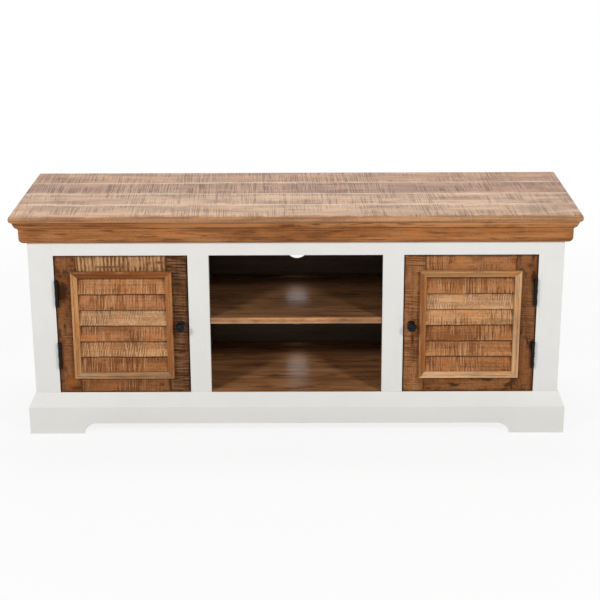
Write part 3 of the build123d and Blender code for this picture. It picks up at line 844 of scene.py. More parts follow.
BLOTCHED = Timber(
    fibre=2.2, broad=3.2, grit=2.2, grit_size=6.0, fleck=0.4, warmth=1.0, saw=0.55, ridge=0.1,
    slant=3.0, patch=(0.42, 0.62), stain=0.85, stain_size=0.5, stain_colour=srgb(40, 27, 20),
    grimy=0.75, edge_width=5.0,
)
SAWN_SLAT = Timber(
    fibre=2.4, broad=3.4, grit=2.0, grit_size=4.5, fleck=0.35, warmth=0.4, saw=0.8, ridge=0.55,
    pitch=6.2, beat=0.35, slant=2.0, patch=(0.34, 0.58), stain=0.25, stain_colour=srgb(78, 50, 32),
    rubbed_highlight=0.85, edge_width=2.2, roughness=0.52, relief=0.6,
)
RIPPLED_SLAT = replace(
    SAWN_SLAT, fibre=2.0, broad=2.8, grit=1.8, fleck=0.2, warmth=0.5, saw=0.65, ridge=0.6,
    pitch=6.4, beat=0.7, slant=-8.0, patch=(0.40, 0.58), stain=0.2,
)
PLANED = Timber(
    fibre=2.6, broad=2.6, grit=0.6, fleck=0.3, rubbed_highlight=0.5, edge_width=1.6, roughness=0.45,
    relief=0.3,
)
CORNICE_STOCK = Timber(
    fibre=2.4, broad=3.0, band=2.4, grit=1.2, fleck=0.75, fleck_size=2.6, warmth=0.45, stain=0.35,
    stain_colour=srgb(88, 54, 34), roughness=0.45, relief=0.4,
    marks=(
        # Dark lines of painted shade in the cornice's steps and under the worktop.
        Crease(Axis.Z, 546.0, 2.2, 0.95),
        Crease(Axis.Z, 538.0, 1.4, 0.6),
        Crease(Axis.Z, 561.5, 1.6, 0.8),
        Knot((-18.0, -220.0, 552.5), (34.0, 60.0, 6.5)),
        Knot((50.0, -220.0, 557.0), (15.0, 60.0, 2.6)),
        Fade(Axis.X, -300.0, 500.0, (1.18, 1.27, 1.42), 547.0),
    ),
)
LACQUERED = Timber(
    fibre=3.0, broad=3.0, band=3.6, band_size=16.0, grit=0.6, fleck=0.65, fleck_size=4.5,
    stain=0.5, stain_colour=srgb(48, 33, 24), roughness=0.27, relief=0.25, gloss=0.42,
)
SHELF_STOCK = replace(
    LACQUERED, rubbed_highlight=0.9, rubbed_highlight_colour=srgb(201, 145, 95), edge_width=12.0, ragged=1.6,
    edge_gaps=0.55,
)
SHADED = Timber(fibre=1.6, broad=1.6, warmth=0.2, roughness=0.5, relief=0.15, gloss=0.1)
PAINT = BrushedPaint()
BLACK_IRON = Metal(srgb(7, 7, 7), srgb(15, 15, 15), 0.0, 0.16, 2.4, 0.06, 0.2)
HAMMERED_IRON = Metal(srgb(8, 8, 8), srgb(16, 16, 16), 0.0, 0.12, 5.0, 3.0, 0.16)
SCREW_STEEL = Metal(srgb(168, 164, 156), srgb(120, 116, 110), 1.0, 0.34, 0.8, 0.04)
STRIKE_STEEL = Metal(srgb(176, 173, 168), srgb(140, 136, 130), 1.0, 0.30, 1.4, 0.03)
CATCH_PLASTIC = Moulded(srgb(58, 38, 26), srgb(74, 50, 34))


# Meshes

CORNER_STEPS = 4
RING_STEP = 0.012
SHARP_ANGLE = 38.0
HAIR = 0.02 * MM
CLEAR = 0.1


def wander(seed: float, along: float, depth: float) -> float:
    """How far a hand-worked edge has wandered inwards at a place along it.

    Args:
        seed: Which edge it is.
        along: Place along the edge, in metres.
        depth: The most that it wanders, in metres.

    Returns:
        A distance from 0 to depth.
    """
    slow = noise.noise(Vector((along * 14.0, seed * 7.31, 0.37)))
    quick = noise.noise(Vector((along * 55.0, seed * 3.17, 5.61)))
    return depth * min(1.0, max(0.0, 0.5 + 0.7 * slow + 0.35 * quick))


def stations(start: float, end: float, step: float) -> list[float]:
    """Places from start to end, about a step apart."""
    count = max(1, round(abs(end - start) / step))
    return [start + (end - start) * index / count for index in range(count + 1)]


def rounded_outline(
    first: tuple[float, float], second: tuple[float, float], radii: Sequence[float]
) -> list[tuple[float, float]]:
    """Rectangle with rounded corners.

    Args:
        first: Low and high limit along the first direction.
        second: Low and high limit along the second direction.
        radii: Radius at the low-low, high-low, high-high and low-high corner.

    Returns:
        The outline's points, in order round it.
    """
    points = []
    for index, radius in enumerate(radii):
        right, top = index in (1, 2), index in (2, 3)
        middle = (
            first[1] - radius if right else first[0] + radius,
            second[1] - radius if top else second[0] + radius,
        )
        for step in range(CORNER_STEPS + 1):
            angle = math.pi * (1.0 + index / 2) + math.pi / 2 * step / CORNER_STEPS
            aside, above = radius * math.cos(angle), radius * math.sin(angle)
            points.append((middle[0] + aside, middle[1] + above))
    return points


def skin(name: str, rings: Sequence[Ring]) -> bpy.types.Object:
    """Closed mesh over a row of rings, each with the same number of points.

    Args:
        name: Name of the object.
        rings: The rings, from one end to the other.

    Returns:
        The object, in the scene.
    """
    made = bmesh.new()
    rows = [[made.verts.new(point) for point in ring] for ring in rings]
    count = len(rows[0])
    for lower, upper in zip(rows, rows[1:]):
        for index in range(count):
            after = (index + 1) % count
            made.faces.new((lower[index], lower[after], upper[after], upper[index]))
    made.faces.new(rows[0][::-1])
    made.faces.new(rows[-1])
    bmesh.ops.recalc_face_normals(made, faces=made.faces)
    mesh = bpy.data.meshes.new(name)
    made.to_mesh(mesh)
    made.free()
    mesh.shade_smooth()
    mesh.set_sharp_from_angle(angle=math.radians(SHARP_ANGLE))
    piece = bpy.data.objects.new(name, mesh)
    bpy.context.scene.collection.objects.link(piece)
    return piece


def board_rings(
    low: Vector, high: Vector, grain: Axis, ease: float, waver: float, seed: float
) -> list[Ring]:
    """Rings of a sawn board with eased edges that wander a little.

    Args:
        low: Lowest corner.
        high: Highest corner.
        grain: The way that the board runs.
        ease: Radius of its edges.
        waver: The most that a face lies inside its limit.
        seed: Which board it is.

    Returns:
        The board's rings, along the grain.
    """
    run = grain.value
    first, second = grain.across
    places = stations(low[run] + ease, high[run] - ease, RING_STEP)
    rows = [(low[run], ease)] + [(place, 0.0) for place in places] + [(high[run], ease)]
    rings = []
    for place, inset in rows:
        drift = [inset + wander(seed * 4.0 + side, place, waver) for side in range(4)]
        outline = rounded_outline(
            (low[first] + drift[0], high[first] - drift[1]),
            (low[second] + drift[2], high[second] - drift[3]),
            (ease,) * 4,
        )
        ring = []
        for a, b in outline:
            point = Vector((0.0, 0.0, 0.0))
            point[run], point[first], point[second] = place, a, b
            ring.append(point)
        rings.append(ring)
    return rings


def add_piece(
    name: str, rings: Sequence[Ring], body: str, node: str, material: bpy.types.Material
) -> bpy.types.Object:
    """Put a new piece in the place of a CAD node.

    Args:
        name: Name of the piece.
        rings: Its rings.
        body: The CAD body that it moves with.
        node: The CAD node that it stands for.
        material: Its finish.

    Returns:
        The piece.
    """
    piece = skin(name, rings)
    piece.data.materials.append(material)
    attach(piece, body)
    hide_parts(node)
    LOG.info("built %s for %s on %s", name, node, body)
    return piece


def dress_node(node: str, material: bpy.types.Material) -> None:
    """Give a CAD node its finish.

    Args:
        node: Name of the node.
        material: The finish.
    """
    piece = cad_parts[node]
    if not piece.material_slots:
        piece.data.materials.append(material)
    for held in piece.material_slots:
        held.material = material
    LOG.info("dressed %s in %s", node, material.name)


# Studio


@dataclass(frozen=True)
class Lamp:
    """A soft box: where it stands, what it points at, its sides in metres, power and glint."""

    name: str
    place: tuple[float, float, float]
    aim: tuple[float, float, float]
    size: tuple[float, float]
    watts: float
    glints: bool = True

    def build(self) -> bpy.types.Object:
        """Add the lamp to the scene."""
        light = bpy.data.lights.new(self.name, "AREA")
        light.shape = "RECTANGLE"
        light.size, light.size_y = self.size
        light.energy = self.watts
        lamp = bpy.data.objects.new(self.name, light)
        lamp.location = self.place
        way = Vector(self.aim) - Vector(self.place)
        lamp.rotation_euler = way.to_track_quat("-Z", "Y").to_euler()
        lamp.visible_camera = False
        lamp.visible_glossy = self.glints
        bpy.context.scene.collection.objects.link(lamp)
        return lamp


@dataclass
class Studio:
    """Pale floor, soft light and the camera of the photograph."""

    camera_place: tuple[float, float, float] = (0.0319, -3.6836, 1.5207)
    yaw: float = 0.3575
    pitch: float = 18.4707
    roll: float = -0.2727
    lens: float = 88.492
    floor_half: float = 40.0
    floor_colour: Rgb = (0.86, 0.86, 0.86)
    floor_glow: float = 0.85
    glow_start: float = 900.0
    glow_end: float = 2400.0
    air: float = 0.22
    lamps: tuple[Lamp, ...] = (
        Lamp("left_soft_box", (-2.0, -2.7, 1.95), (0.0, -0.1, 0.3), (0.4, 0.4), 50.0),
        Lamp("right_soft_box", (2.0, -2.7, 1.95), (0.0, -0.1, 0.3), (0.4, 0.4), 50.0),
        Lamp("top_light", (0.0, 0.9, 3.3), (0.0, 0.3, 0.5), (2.4, 1.2), 40.0),
        Lamp("back_fill", (0.0, 3.4, 1.4), (0.0, 0.2, 0.3), (3.0, 1.6), 42.0, False),
    )

    def build_camera(self) -> None:
        """Camera at the photograph's place, with no shift."""
        yaw, pitch, roll = (math.radians(angle) for angle in (self.yaw, self.pitch, self.roll))
        level_share = math.cos(pitch)
        ahead = Vector(
            (-math.sin(yaw) * level_share, math.cos(yaw) * level_share, -math.sin(pitch))
        )
        level = Vector((math.cos(yaw), math.sin(yaw), 0.0))
        upright = level.cross(ahead)
        right = level * math.cos(roll) + upright * math.sin(roll)
        up = upright * math.cos(roll) - level * math.sin(roll)
        turned = Matrix((right, up, -ahead)).transposed().to_4x4()
        turned.translation = Vector(self.camera_place)
        data = bpy.data.cameras.new("photograph")
        data.sensor_width = 36.0
        data.lens = self.lens
        data.clip_end = 200.0
        camera = bpy.data.objects.new("photograph", data)
        camera.matrix_world = turned
        bpy.context.scene.collection.objects.link(camera)
        bpy.context.scene.camera = camera

    def build_world(self) -> None:
        """Even light from all round, which the camera sees as plain white."""
        world = bpy.data.worlds.new("studio_air")
        bpy.context.scene.world = world
        graph = Graph(world)
        lit = graph.node("ShaderNodeBackground", None, {"Color": WHITE, "Strength": self.air})
        shown = graph.node("ShaderNodeBackground", None, {"Color": WHITE, "Strength": 1.0})
        parts = {0: graph.seen_directly(), 1: lit, 2: shown}
        either = graph.node("ShaderNodeMixShader", None, parts)
        graph.node("ShaderNodeOutputWorld", None, {"Surface": either})

    def build_floor(self) -> None:
        """Pale floor that is nearly white to the camera and still takes a soft shadow."""
        half = self.floor_half
        mesh = bpy.data.meshes.new("studio_floor")
        corners = [(-half, -half, 0.0), (half, -half, 0.0), (half, half, 0.0), (-half, half, 0.0)]
        mesh.from_pydata(corners, [], [(0, 1, 2, 3)])
        material, graph = start_material("pale_floor")
        matt = {"Base Color": self.floor_colour, "Roughness": 0.9, "Specular IOR Level": 0.0}
        board = graph.node("ShaderNodeBsdfPrincipled", None, matt)
        glow = graph.node("ShaderNodeEmission", None, {"Color": WHITE, "Strength": 1.0})
        place = graph.place()
        length = graph.node("ShaderNodeVectorMath", {"operation": "LENGTH"}, {0: place})
        far = length.output("Value").ramp(self.glow_start, self.glow_end)
        share = graph.seen_directly() * (self.floor_glow + far * (1.0 - self.floor_glow))
        either = graph.node("ShaderNodeMixShader", None, {0: share, 1: board, 2: glow})
        graph.node("ShaderNodeOutputMaterial", None, {"Surface": either})
        mesh.materials.append(material)
        floor = bpy.data.objects.new("studio_floor", mesh)
        bpy.context.scene.collection.objects.link(floor)

    def build(self) -> None:
        """Make the whole studio."""
        bpy.context.scene.view_settings.view_transform = "Standard"
        self.build_camera()
        self.build_world()
        self.build_floor()
        for lamp in self.lamps:
            lamp.build()
        LOG.info("built the studio with %d lamps", len(self.lamps))


# The cabinet


@dataclass
class Worktop:
    """Four sawn boards side by side, with a rounded nose at the front and both ends."""

    nose: float = 6.0 * MM
    nose_steps: int = 5
    joint_ease: float = 1.3 * MM
    back_ease: float = 0.3 * MM
    waver: float = 0.7 * MM
    joint_waver: float = 0.12 * MM
    step: float = 14.0 * MM
    hollow: float = 0.35 * MM
    relief_count: int = 12
    # Tones of the top faces, paler than the nose by a painted sheen.
    tones: tuple[Tone, ...] = (Tone.CHALK_AND_SHEEN, Tone.LIME_AND_SHEEN, Tone.DUST_AND_SHEEN, Tone.BLEACH_AND_SHEEN)
    saws: tuple[float, ...] = (0.75, 0.7, 1.0, 0.8)

    def end_places(self, low: float, high: float) -> list[tuple[float, float]]:
        """Places along a board, each with the drop of its rounded end there."""
        ends = []
        for index in range(self.nose_steps + 1):
            angle = math.pi / 2 * index / self.nose_steps
            ends.append((self.nose * (1.0 - math.cos(angle)), self.nose * (1.0 - math.sin(angle))))
        middle = stations(low + self.nose, high - self.nose, self.step)[1:-1]
        places = [(low + gap, drop) for gap, drop in ends]
        places += [(place, 0.0) for place in middle]
        return places + [(high - gap, drop) for gap, drop in reversed(ends)]

    def ring(self, place: float, drop: float, low: Vector, high: Vector, index: int) -> Ring:
        """One ring across a board.

        Args:
            place: Where it is along the board.
            drop: How far the rounded end drops there.
            low: The board's lowest corner.
            high: The board's highest corner.
            index: Which board it is, from the front.

        Returns:
            The ring's points.
        """
        front = index == 0
        seed = index * 5.0
        under, over = low.z + drop, high.z - drop - wander(seed, place, self.hollow / 2)
        near = low.y + wander(seed + 1.0, place, self.waver if front else self.joint_waver)
        far = high.y - wander(seed + 2.0, place, self.joint_waver)
        nose = min(self.nose, (over - under) * 0.49)
        ease = min(self.joint_ease, (over - under) * 0.3)
        under_ease, over_ease = (nose, nose) if front else (self.back_ease, ease)
        radii = (under_ease, self.back_ease, ease, over_ease)
        outline = rounded_outline((near, far), (under, over), radii)
        corner = len(outline) // 4 * 3
        (start, level), (end, _) = outline[corner - 1], outline[corner]
        worn = []
        for step in range(1, self.relief_count):
            y = start + (end - start) * step / self.relief_count
            dip = noise.noise(Vector((place * 9.0, y * 45.0, seed)))
            worn.append((y, level - self.hollow * (0.5 + 0.5 * dip)))
        return [Vector((place, y, z)) for y, z in outline[:corner] + worn + outline[corner:]]

    def lie(self, index: int, low: Vector, high: Vector, marks: tuple[Mark, ...]) -> BoardLie:
        """A board's lie, drawn out past the nose so that only its joints count as arrises."""
        past = Vector((CLEAR, 0.0, CLEAR))
        front = Vector((0.0, CLEAR if index == 0 else 0.0, 0.0))
        far = Vector((0.0, CLEAR if index == len(self.tones) - 1 else 0.0, -CLEAR))
        return BoardLie.of(low - past - front, high + past + far, Axis.X, 11.0 + index * 3.7, marks)

    def build(self) -> None:
        """Make the four boards."""
        for index, (tone, saw) in enumerate(zip(self.tones, self.saws)):
            node = f"top_board_{index + 1}"
            low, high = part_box(node)
            rings = [
                self.ring(place, drop, low, high, index)
                for place, drop in self.end_places(low.x, high.x)
            ]
            lie = self.lie(index, low, high, TOP_MARKS.get(node, ()))
            material = replace(SAWN_TOP, saw=saw).material(f"sawn_{node}", lie, tone)
            add_piece(f"{node}_sawn", rings, "cabinet", node, material)


@dataclass
class Cornice:
    """Moulded lengths under the top."""

    tone: Tone = Tone.SIENNA

    def build(self) -> None:
        """Dress the three lengths, each with its grain along it."""
        runs = {"cornice_front": Axis.X, "cornice_left": Axis.Y, "cornice_right": Axis.Y}
        for index, (node, grain) in enumerate(runs.items()):
            lie = BoardLie.of_node(node, grain, 31.0 + index * 4.3)
            dress_node(node, CORNICE_STOCK.material(f"moulded_{node}", lie, self.tone))


@dataclass
class PaintedCase:
    """Face frame, side panels and plinth, painted outside."""

    bare_depth: float = 8.0
    inside: Tone = Tone.UMBER

    def build(self) -> None:
        """Dress each board with the brush strokes along it."""
        runs = {
            "face_stile_left": Axis.Z,
            "face_stile_right": Axis.Z,
            "face_mid_stile_left": Axis.Z,
            "face_mid_stile_right": Axis.Z,
            "face_top_rail": Axis.X,
            "face_bottom_rail": Axis.X,
            "plinth_front": Axis.X,
            "plinth_left": Axis.Y,
            "plinth_right": Axis.Y,
            "corner_blocks": Axis.Z,
        }
        for index, (node, grain) in enumerate(runs.items()):
            lie = BoardLie.of_node(node, grain, 51.0 + index * 2.9)
            dress_node(node, PAINT.material(f"painted_{node}", lie))
        for side, sign in (("left", -1.0), ("right", 1.0)):
            node = f"side_panel_{side}"
            low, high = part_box(node)
            outer = max(abs(low.x), abs(high.x)) / MM
            limit = sign * (outer - self.bare_depth)
            bare = BareSide(Axis.X, limit + sign * 0.1, limit - sign * 0.1, LACQUERED, self.inside)
            lie = BoardLie.of_node(node, Axis.Z, 83.0 + sign)
            dress_node(node, PAINT.material(f"painted_{node}", lie, bare))


@dataclass
class OpenBay:
    """Inside of the case: floor, shelf, partitions, back and back rail."""

    shelf_ease: float = 1.0 * MM
    shelf_waver: float = 0.4 * MM
    shelf_room: float = 0.2 * MM
    floor_tone: Tone = Tone.TOFFEE
    shelf_tone: Tone = Tone.MOCHA
    # Walls and back are darker than the floor and shelf: painted shade of the deep bay.
    wall_shade_tone: Tone = Tone.SHADED_BROWN
    back_shade_tone: Tone = Tone.DRAB

    def shelf_rings(self, low: Vector, high: Vector) -> list[Ring]:
        """Shelf from partition to partition, notched at the front round the mid stiles.

        Args:
            low: Lowest corner of the shelf.
            high: Highest corner of the shelf.

        Returns:
            The shelf's rings, from left to right.
        """
        room, ease = self.shelf_room, self.shelf_ease
        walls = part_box("partition_left")[1].x + room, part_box("partition_right")[0].x - room
        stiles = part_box("face_mid_stile_left")[1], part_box("face_mid_stile_right")[0]
        front_low = Vector((stiles[0].x + room - ease, low.y, low.z))
        front_high = Vector((stiles[1].x - room + ease, high.y, high.z))
        front = board_rings(front_low, front_high, Axis.X, ease, self.shelf_waver, 71.0)[1:-1]
        notch = stiles[0].y + room
        ends = []
        for ring, wall, step in ((front[0], walls[0], -room), (front[-1], walls[1], room)):
            edge = ring[0].x + step / 4
            ends.append([[Vector((x, max(p.y, notch), p.z)) for p in ring] for x in (wall, edge)])
        return ends[0] + front + ends[1][::-1]

    def build_shelf(self) -> None:
        """Shelf between the partitions, its front edge lightened by rubbed wear and a painted
        highlight.
        """
        low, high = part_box("centre_shelf")
        past = Vector((CLEAR, 0.0, 0.0))
        lie = BoardLie.of(low - past, high + past + Vector((0.0, CLEAR, 0.0)), Axis.X, 73.0)
        material = SHELF_STOCK.material("lacquered_shelf", lie, self.shelf_tone)
        rings = self.shelf_rings(low, high)
        name = "centre_shelf_lacquered"
        add_piece(name, rings, "cabinet", "centre_shelf", material)

    def build_floor(self) -> None:
        """Floor of the case, whose front edge is painted with the face frame."""
        low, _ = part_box("bottom_panel")
        front = low.y / MM
        bare = BareSide(Axis.Y, front + 0.2, front + 0.6, LACQUERED, self.floor_tone)
        lie = BoardLie.of_node("bottom_panel", Axis.X, 77.0)
        dress_node("bottom_panel", PAINT.material("floor_with_painted_edge", lie, bare))

    def build(self) -> None:
        """Make the shelf and dress the rest."""
        self.build_shelf()
        self.build_floor()
        runs = {
            "partition_left": (Axis.Z, self.wall_shade_tone),
            "partition_right": (Axis.Z, self.wall_shade_tone),
            "back_rail": (Axis.X, self.wall_shade_tone),
            "back_panel": (Axis.X, self.back_shade_tone),
        }
        for index, (node, (grain, tone)) in enumerate(runs.items()):
            lie = BoardLie.of_node(node, grain, 91.0 + index * 3.1)
            dress_node(node, SHADED.material(f"shaded_{node}", lie, tone))


# The doors


class Side(Enum):
    """Which side of the cabinet a door is on."""

    LEFT = -1
    RIGHT = 1

    @property
    def word(self) -> str:
        """The side's name in the names of pieces."""
        return self.name.lower()


@dataclass(frozen=True)
class Stock:
    """A board picked for a place in a door: how it is worked, and its tone."""

    timber: Timber
    tone: Tone


@dataclass(frozen=True)
class DoorStock:
    """The boards of one door; slats run from the lowest one up, mouldings from the bottom round."""

    hinge_stile: Stock
    lock_stile: Stock
    top_rail: Stock
    bottom_rail: Stock
    slats: tuple[Stock, ...]
    mouldings: tuple[Tone, ...]


@dataclass
class LouvreDoor:
    """A framed door with sloped slats behind a mitred moulding."""

    side: Side
    stock: DoorStock
    marks: dict[str, tuple[Mark, ...]]
    ease: float = 0.9 * MM
    waver: float = 0.5 * MM
    hinge_height: float = 68.0 * MM
    leaf_width: float = 18.0 * MM
    leaf_depth: float = 1.95 * MM
    leaf_room: float = 0.15 * MM
    slat_width: float = 47.0 * MM
    slat_thickness: float = 7.0 * MM
    slat_tilt: float = 18.0
    slat_proud: float = 5.0 * MM
    slat_ease: float = 1.2 * MM
    slat_room: float = 0.3 * MM
    slat_waver: float = 1.3 * MM
    slat_step: float = 0.006
    slat_end_room: float = 0.05 * MM
    moulding_width: float = 16.5 * MM
    moulding_thickness: float = 11.0 * MM
    moulding_lap: float = 2.5 * MM
    moulding_bead: float = 6.5 * MM
    moulding_round: float = 2.5 * MM
    moulding_step: float = 0.04
    moulding_waver: float = 0.5 * MM

    def __post_init__(self) -> None:
        """Take the door's limits from the CAD model, as for a right-hand door."""
        self.body = f"door_{self.side.word}"
        hinge = self.box("hinge_stile")
        lock = self.box("lock_stile")
        self.face, self.back = lock[0].y, lock[1].y
        self.outer_x, self.inner_x = hinge[1].x, hinge[0].x
        self.door_z = (lock[0].z, lock[1].z)
        self.louvre_x = (lock[1].x, hinge[0].x)
        self.louvre_z = (self.box("bottom_rail")[1].z, self.box("top_rail")[0].z)
        self.sight_x = (self.louvre_x[0] + self.moulding_lap, self.louvre_x[1] - self.moulding_lap)
        self.sight_z = (self.louvre_z[0] + self.moulding_lap, self.louvre_z[1] - self.moulding_lap)

    def box(self, part: str) -> tuple[Vector, Vector]:
        """Corners of one of the door's CAD nodes, turned to the right-hand side."""
        low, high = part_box(f"{self.body}_{part}")
        if self.side is Side.LEFT:
            low.x, high.x = -high.x, -low.x
        return low, high

    def turned(self, rings: Sequence[Ring]) -> list[Ring]:
        """Rings made for a right-hand door, moved to this door's side."""
        sign = float(self.side.value)
        return [[Vector((point.x * sign, point.y, point.z)) for point in ring] for ring in rings]

    def seed(self, step: float) -> float:
        """Number that picks a board's figure, different on the two doors."""
        return 120.0 + step * 3.3 + self.side.value * 40.0

    def add(self, part: str, rings: Sequence[Ring], node: str, look: tuple) -> None:
        """Add one timber piece of the door.

        Args:
            part: The piece's name on the door.
            rings: Its rings, as for a right-hand door.
            node: The door's CAD node that it stands for.
            look: Its stock, grain, seed and material slot.
        """
        picked, grain, seed, slot = look
        placed = self.turned(rings)
        corners = [point for ring in placed for point in ring]
        low = Vector(min(point[axis] for point in corners) for axis in range(3))
        high = Vector(max(point[axis] for point in corners) for axis in range(3))
        name = f"{self.body}_{part}"
        lie = BoardLie.of(low, high, grain, seed, self.marks.get(part, ()))
        material = picked.timber.material(f"timber_{name}", lie, picked.tone)
        add_piece(f"{name}_sawn", placed, self.body, f"{self.body}_{node}", material)

    def hinge_stile_rings(self) -> list[Ring]:
        """Hinge stile with a shallow recess in its edge for each hinge leaf."""
        depth_y = self.face + self.leaf_width + self.leaf_room
        low_z, high_z = self.door_z
        rows = [(z, False) for z in stations(low_z, high_z, RING_STEP)]
        leaves = self.box("hinge_leaves")
        for foot in (leaves[0].z, leaves[1].z - self.hinge_height):
            start = foot - self.leaf_room
            end = foot + self.hinge_height + self.leaf_room
            rows = [row for row in rows if not start - 0.001 < row[0] < end + 0.001]
            rows += [(start, False), (start + HAIR, True), (end - HAIR, True), (end, False)]
        rings = []
        for z, recessed in sorted(rows):
            inset = self.ease if z in self.door_z else 0.0
            drift = [inset + wander(self.seed(9.0) + side, z, self.waver) for side in range(3)]
            edge = self.outer_x - (self.leaf_depth if recessed else inset)
            step = 0.0 if recessed else 0.2 * MM
            outline = rounded_outline(
                (self.inner_x + drift[0], edge),
                (self.face + drift[1], self.back - drift[2]),
                (self.ease,) * 4,
            )
            quarter = len(outline) // 4
            shift = self.leaf_depth if recessed else 0.0
            behind = [(x + shift, y) for x, y in outline[2 * quarter:3 * quarter]]
            corners = [(edge, depth_y - step), (self.outer_x - inset, depth_y + step)]
            outline = outline[:2 * quarter] + corners + behind + outline[3 * quarter:]
            rings.append([Vector((x, y, z)) for x, y in outline])
        return rings

    def build_frame(self) -> None:
        """Two stiles, and two rails between them."""
        stock = self.stock
        look = (stock.hinge_stile, Axis.Z, self.seed(0.4), "door_wood")
        self.add("hinge_stile", self.hinge_stile_rings(), "hinge_stile", look)
        low, high = self.box("lock_stile")
        rings = board_rings(low, high, Axis.Z, self.ease, self.waver, self.seed(1.0))
        look = (stock.lock_stile, Axis.Z, self.seed(1.0), "door_wood")
        self.add("lock_stile", rings, "lock_stile", look)
        rails = (("top_rail", stock.top_rail), ("bottom_rail", stock.bottom_rail))
        for step, (part, picked) in enumerate(rails):
            low, high = self.box(part)
            low.x, high.x = self.louvre_x
            seed = self.seed(2.0 + step)
            rings = board_rings(low, high, Axis.X, self.ease, self.waver, seed)
            self.add(part, rings, part, (picked, Axis.X, seed, "door_wood"))

    def slat_rings(self, index: int) -> list[Ring]:
        """One sloped slat between the stiles, notched where the moulding passes its ends.

        Args:
            index: Which slat it is, from 0 for the lowest.

        Returns:
            The slat's rings, along its length.
        """
        tilt = math.radians(self.slat_tilt)
        up = (math.sin(tilt), math.cos(tilt))
        back = (math.cos(tilt), -math.sin(tilt))
        tall = self.slat_width * up[1] - self.slat_thickness * back[1]
        room = self.louvre_z[1] - self.louvre_z[0] - 2 * self.slat_room
        pitch = (room - tall) / (len(self.stock.slats) - 1)
        foot_y = self.face - self.slat_proud
        foot_z = self.louvre_z[0] + self.slat_room - self.slat_thickness * back[1] + index * pitch
        clear = (self.sight_x[0] + self.slat_room, self.sight_x[1] - self.slat_room)
        sill = self.sight_z[0] + self.slat_room
        ends = (self.louvre_x[0] + self.slat_end_room, self.louvre_x[1] - self.slat_end_room)
        places = [(ends[0], True), (clear[0] - HAIR, True)]
        places += [(x, False) for x in stations(clear[0], clear[1], self.slat_step)]
        places += [(clear[1] + HAIR, True), (ends[1], True)]
        seed = self.seed(20.0 + index * 3.0)
        rings = []
        for x, notched in places:
            lower = wander(seed, x, self.slat_waver)
            front = wander(seed + 1.0, x, self.slat_waver / 3)
            outline = rounded_outline(
                (lower, self.slat_width), (front, self.slat_thickness), (self.slat_ease,) * 4
            )
            ring = []
            for along, across in outline:
                y = foot_y + along * up[0] + across * back[0]
                z = foot_z + along * up[1] + across * back[1]
                if y < self.face + self.slat_room:
                    y = self.face + self.slat_room if notched else y
                    z = max(z, sill)
                ring.append(Vector((x, y, z)))
            rings.append(ring)
        return rings

    def build_slats(self) -> None:
        """All slats, from the lowest one up."""
        for index, picked in enumerate(self.stock.slats):
            part = f"slat_{index + 1}"
            look = (picked, Axis.X, self.seed(30.0 + index * 1.7), "slat_wood")
            self.add(part, self.slat_rings(index), part, look)

    def moulding_outline(self) -> list[tuple[float, float]]:
        """Section of the moulding: outwards from the sight opening, and forwards from the door."""
        width, thick = self.moulding_width, self.moulding_thickness
        points = [(0.0, 0.0), (width, 0.0)]
        for step in range(CORNER_STEPS + 1):
            angle = math.pi / 2 * step / CORNER_STEPS
            inward = self.moulding_round * (1 - math.cos(angle))
            down = self.moulding_round * (1 - math.sin(angle))
            points.append((width - inward, thick - down))
        bead = width - self.moulding_bead
        quirk = ((0.9, 0.0), (0.25, 0.3), (0.0, 0.9), (0.0, 1.5), (-0.6, 1.3))
        points += [(bead + aside * MM, thick - down * MM) for aside, down in quirk]
        return points + [(1.0 * MM, 6.2 * MM), (0.3 * MM, 5.8 * MM), (0.0, 5.0 * MM)]

    def moulding_side(self, index: int) -> tuple[float, float, bool]:
        """A length's inner edge, the way outward from it, and whether the length is level."""
        edges = (self.sight_z[0], self.sight_x[1], self.sight_z[1], self.sight_x[0])
        return edges[index], (-1.0, 1.0, 1.0, -1.0)[index], index in (0, 2)

    def moulding_rings(self, index: int) -> list[Ring]:
        """One mitred length: 0 below the slats, 1 at the hinges, 2 above and 3 at the lock.

        Args:
            index: Which length it is.

        Returns:
            The length's rings, from mitre to mitre.
        """
        edge, outward, level = self.moulding_side(index)
        start, end = self.sight_x if level else self.sight_z
        seed = self.seed(60.0 + index * 2.0)
        rings = []
        for share in stations(0.0, 1.0, self.moulding_step):
            ring = []
            for out, forward in self.moulding_outline():
                along = (start - out) * (1.0 - share) + (end + out) * share
                sunk = wander(seed, along, self.moulding_waver) * forward / self.moulding_thickness
                aside = edge + outward * (out - wander(seed + 1.0, along, 0.3 * MM) * (out > 0.01))
                x, z = (along, aside) if level else (aside, along)
                ring.append(Vector((x, self.face - forward + sunk, z)))
            rings.append(ring)
        return rings

    def quirk(self, index: int) -> Crease:
        """Line of painted shade in the quirk beside the bead.

        Args:
            index: Which length it is.

        Returns:
            The line, on this door's side.
        """
        edge, outward, level = self.moulding_side(index)
        at = (edge + (self.moulding_width - self.moulding_bead) * outward) / MM
        turned = at if level else at * self.side.value
        return Crease(Axis.Z if level else Axis.X, turned, 1.4, 0.6)

    def build_moulding(self) -> None:
        """Four lengths round the slats."""
        for index, word in enumerate(("bottom", "hinge", "top", "lock")):
            grain = Axis.X if index in (0, 2) else Axis.Z
            picked = Stock(replace(PLANED, marks=(self.quirk(index),)), self.stock.mouldings[index])
            look = (picked, grain, self.seed(70.0 + index), "moulding_wood")
            self.add(f"moulding_{word}", self.moulding_rings(index), "moulding", look)

